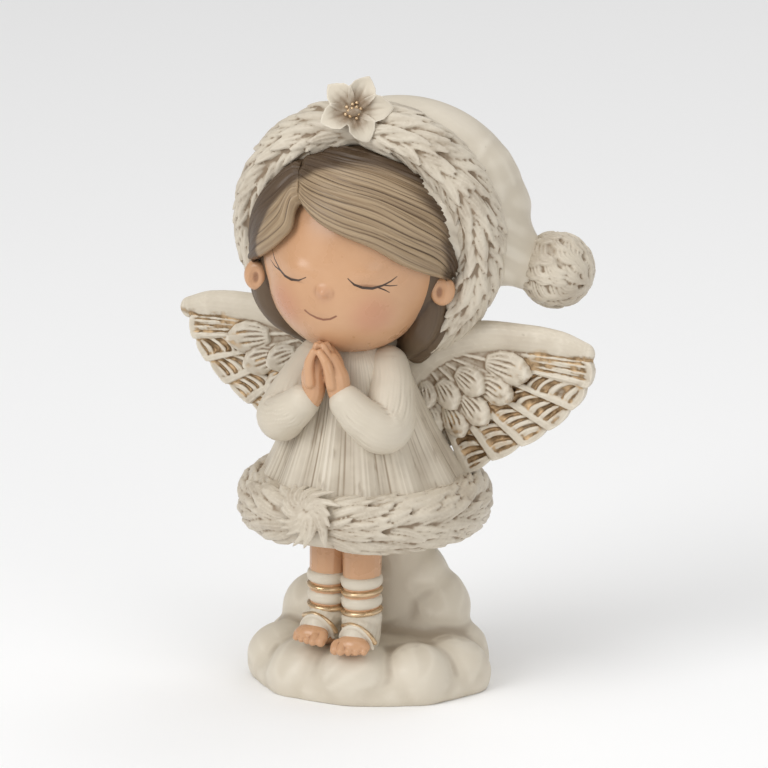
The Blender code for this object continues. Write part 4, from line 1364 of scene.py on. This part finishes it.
def makeCombedIvory():
    paint, base = washedIvory("combedIvory")
    streaks = paint.noise(330, 3, (1.0, 1.0, 0.06))
    paint.colour(paint.brush(base, "wash", streaks, 0.60, 0.76, 0, 0.42))
    paint.roughness(paint.between(paint.noise(90, 3), 0.3, 0.7, 0.42, 0.58))
    paint.relief(streaks, 0.25, 0.2)
    return paint.material


def makeWingPaint():
    paint, base = washedIvory("wingPaint")
    speckle, recess = paint.noise(340, 4), paint.share("recess")
    gild = paint.times(paint.share("gild"), paint.between(paint.noise(75, 3), 0.28, 0.6, 0.65, 1.4))
    gild = paint.times(gild, paint.sums("ADD", paint.between(recess, -0.03, 0.06, 0, 0.65), 0.4))
    gild = paint.sums("MULTIPLY", gild, paint.between(speckle, 0.3, 0.6, 0.55, 1.2), clamp=True)
    shine = paint.between(gild, 0.3, 0.75)
    bronze = paint.brush(paints["goldDark"], "gold", speckle, 0.4, 0.7)
    bronze = paint.brush(bronze, "goldDark", recess, 0.10, 0.35, 0, 0.8)
    paint.colour(paint.mix(shine, base, bronze))
    paint.put(paint.shader.inputs["Metallic"], paint.times(shine, 0.8))
    paint.roughness(paint.between(speckle, 0.3, 0.7, 0.34, 0.54))
    paint.relief(speckle, 0.15, 0.15)
    return paint.material


skinPaint, earPaint, hairPaint = makeSkinPaint(), makeEarPaint(), makeHairPaint()
goldPaint, petalPaint = makeGoldPaint(), makePetalPaint()
combedIvory, wingPaint = makeCombedIvory(), makeWingPaint()


# The camera at the photograph's angle, a pale floor and soft studio light

view = {
    "around": 25, "up": 15, "away": 4.0, "pixelsPerMm": 3.55, "right": 13, "above": 293, "picture": 768, "sensor": 36,
}
studio = {"floorSize": 14.0, "aim": (0, 0, 0.09), "glow": 0.42}
lights = (  # place, size and strength
    ((-0.55, -1.25, 0.95), 0.9, 11.5),
    ((0.1, -0.3, 1.6), 1.1, 7.0),
    ((1.1, -0.7, 0.6), 0.9, 3.2),
    ((0.2, 1.0, 1.3), 0.9, 4.0),
)


def makeCamera():
    back = compass(view["around"], view["up"])
    around = radians(view["around"])
    right = Vector((cos(around), sin(around), 0))
    over = back.cross(right)
    aim = (right * view["right"] + over * view["above"]) * (mm / view["pixelsPerMm"])
    bpy.ops.object.camera_add(location=aim + back * view["away"])
    camera = bpy.context.object
    camera.rotation_euler = (-back).to_track_quat("-Z", "Y").to_euler()
    camera.data.sensor_width = view["sensor"]
    camera.data.lens = view["pixelsPerMm"] * view["away"] / mm / view["picture"] * view["sensor"]
    bpy.context.scene.camera = camera


def makeStudio():
    bpy.ops.mesh.primitive_plane_add(size=studio["floorSize"], location=(0, 0, 0))
    ground = bpy.context.object
    ground.name = "floor"
    paint = Paint("floorPaint", Roughness=0.85)
    paint.colour(paint.brush(paints["paper"], "paperLight", paint.noise(0.8, 2), 0.3, 0.7))
    ground.data.materials.append(paint.material)
    for place, size, strength in lights:
        bpy.ops.object.light_add(type="AREA", location=place)
        lamp = bpy.context.object
        lamp.data.size, lamp.data.energy = size, strength
        lamp.rotation_euler = (Vector(studio["aim"]) - Vector(place)).to_track_quat("-Z", "Y").to_euler()
    world = bpy.data.worlds.new("studio")
    world.use_nodes = True
    background = world.node_tree.nodes["Background"].inputs
    background["Color"].default_value = (1, 1, 1, 1)
    background["Strength"].default_value = studio["glow"]
    bpy.context.scene.world = world
    bpy.context.scene.view_settings.view_transform = "Standard"


for makeStage in (
        makeCamera, makeStudio, makeCloud, makeSkinLegs, makeWraps, makeDress, makeHem, makeSleeves, makeHands,
        makeHead, makeEars, makeHair, makeCrown, makeBrim, makePompom, makeFlower):
    makeStage()
for side, name in ((-1, "wingRight"), (1, "wingLeft")):
    makeWing(side, name)
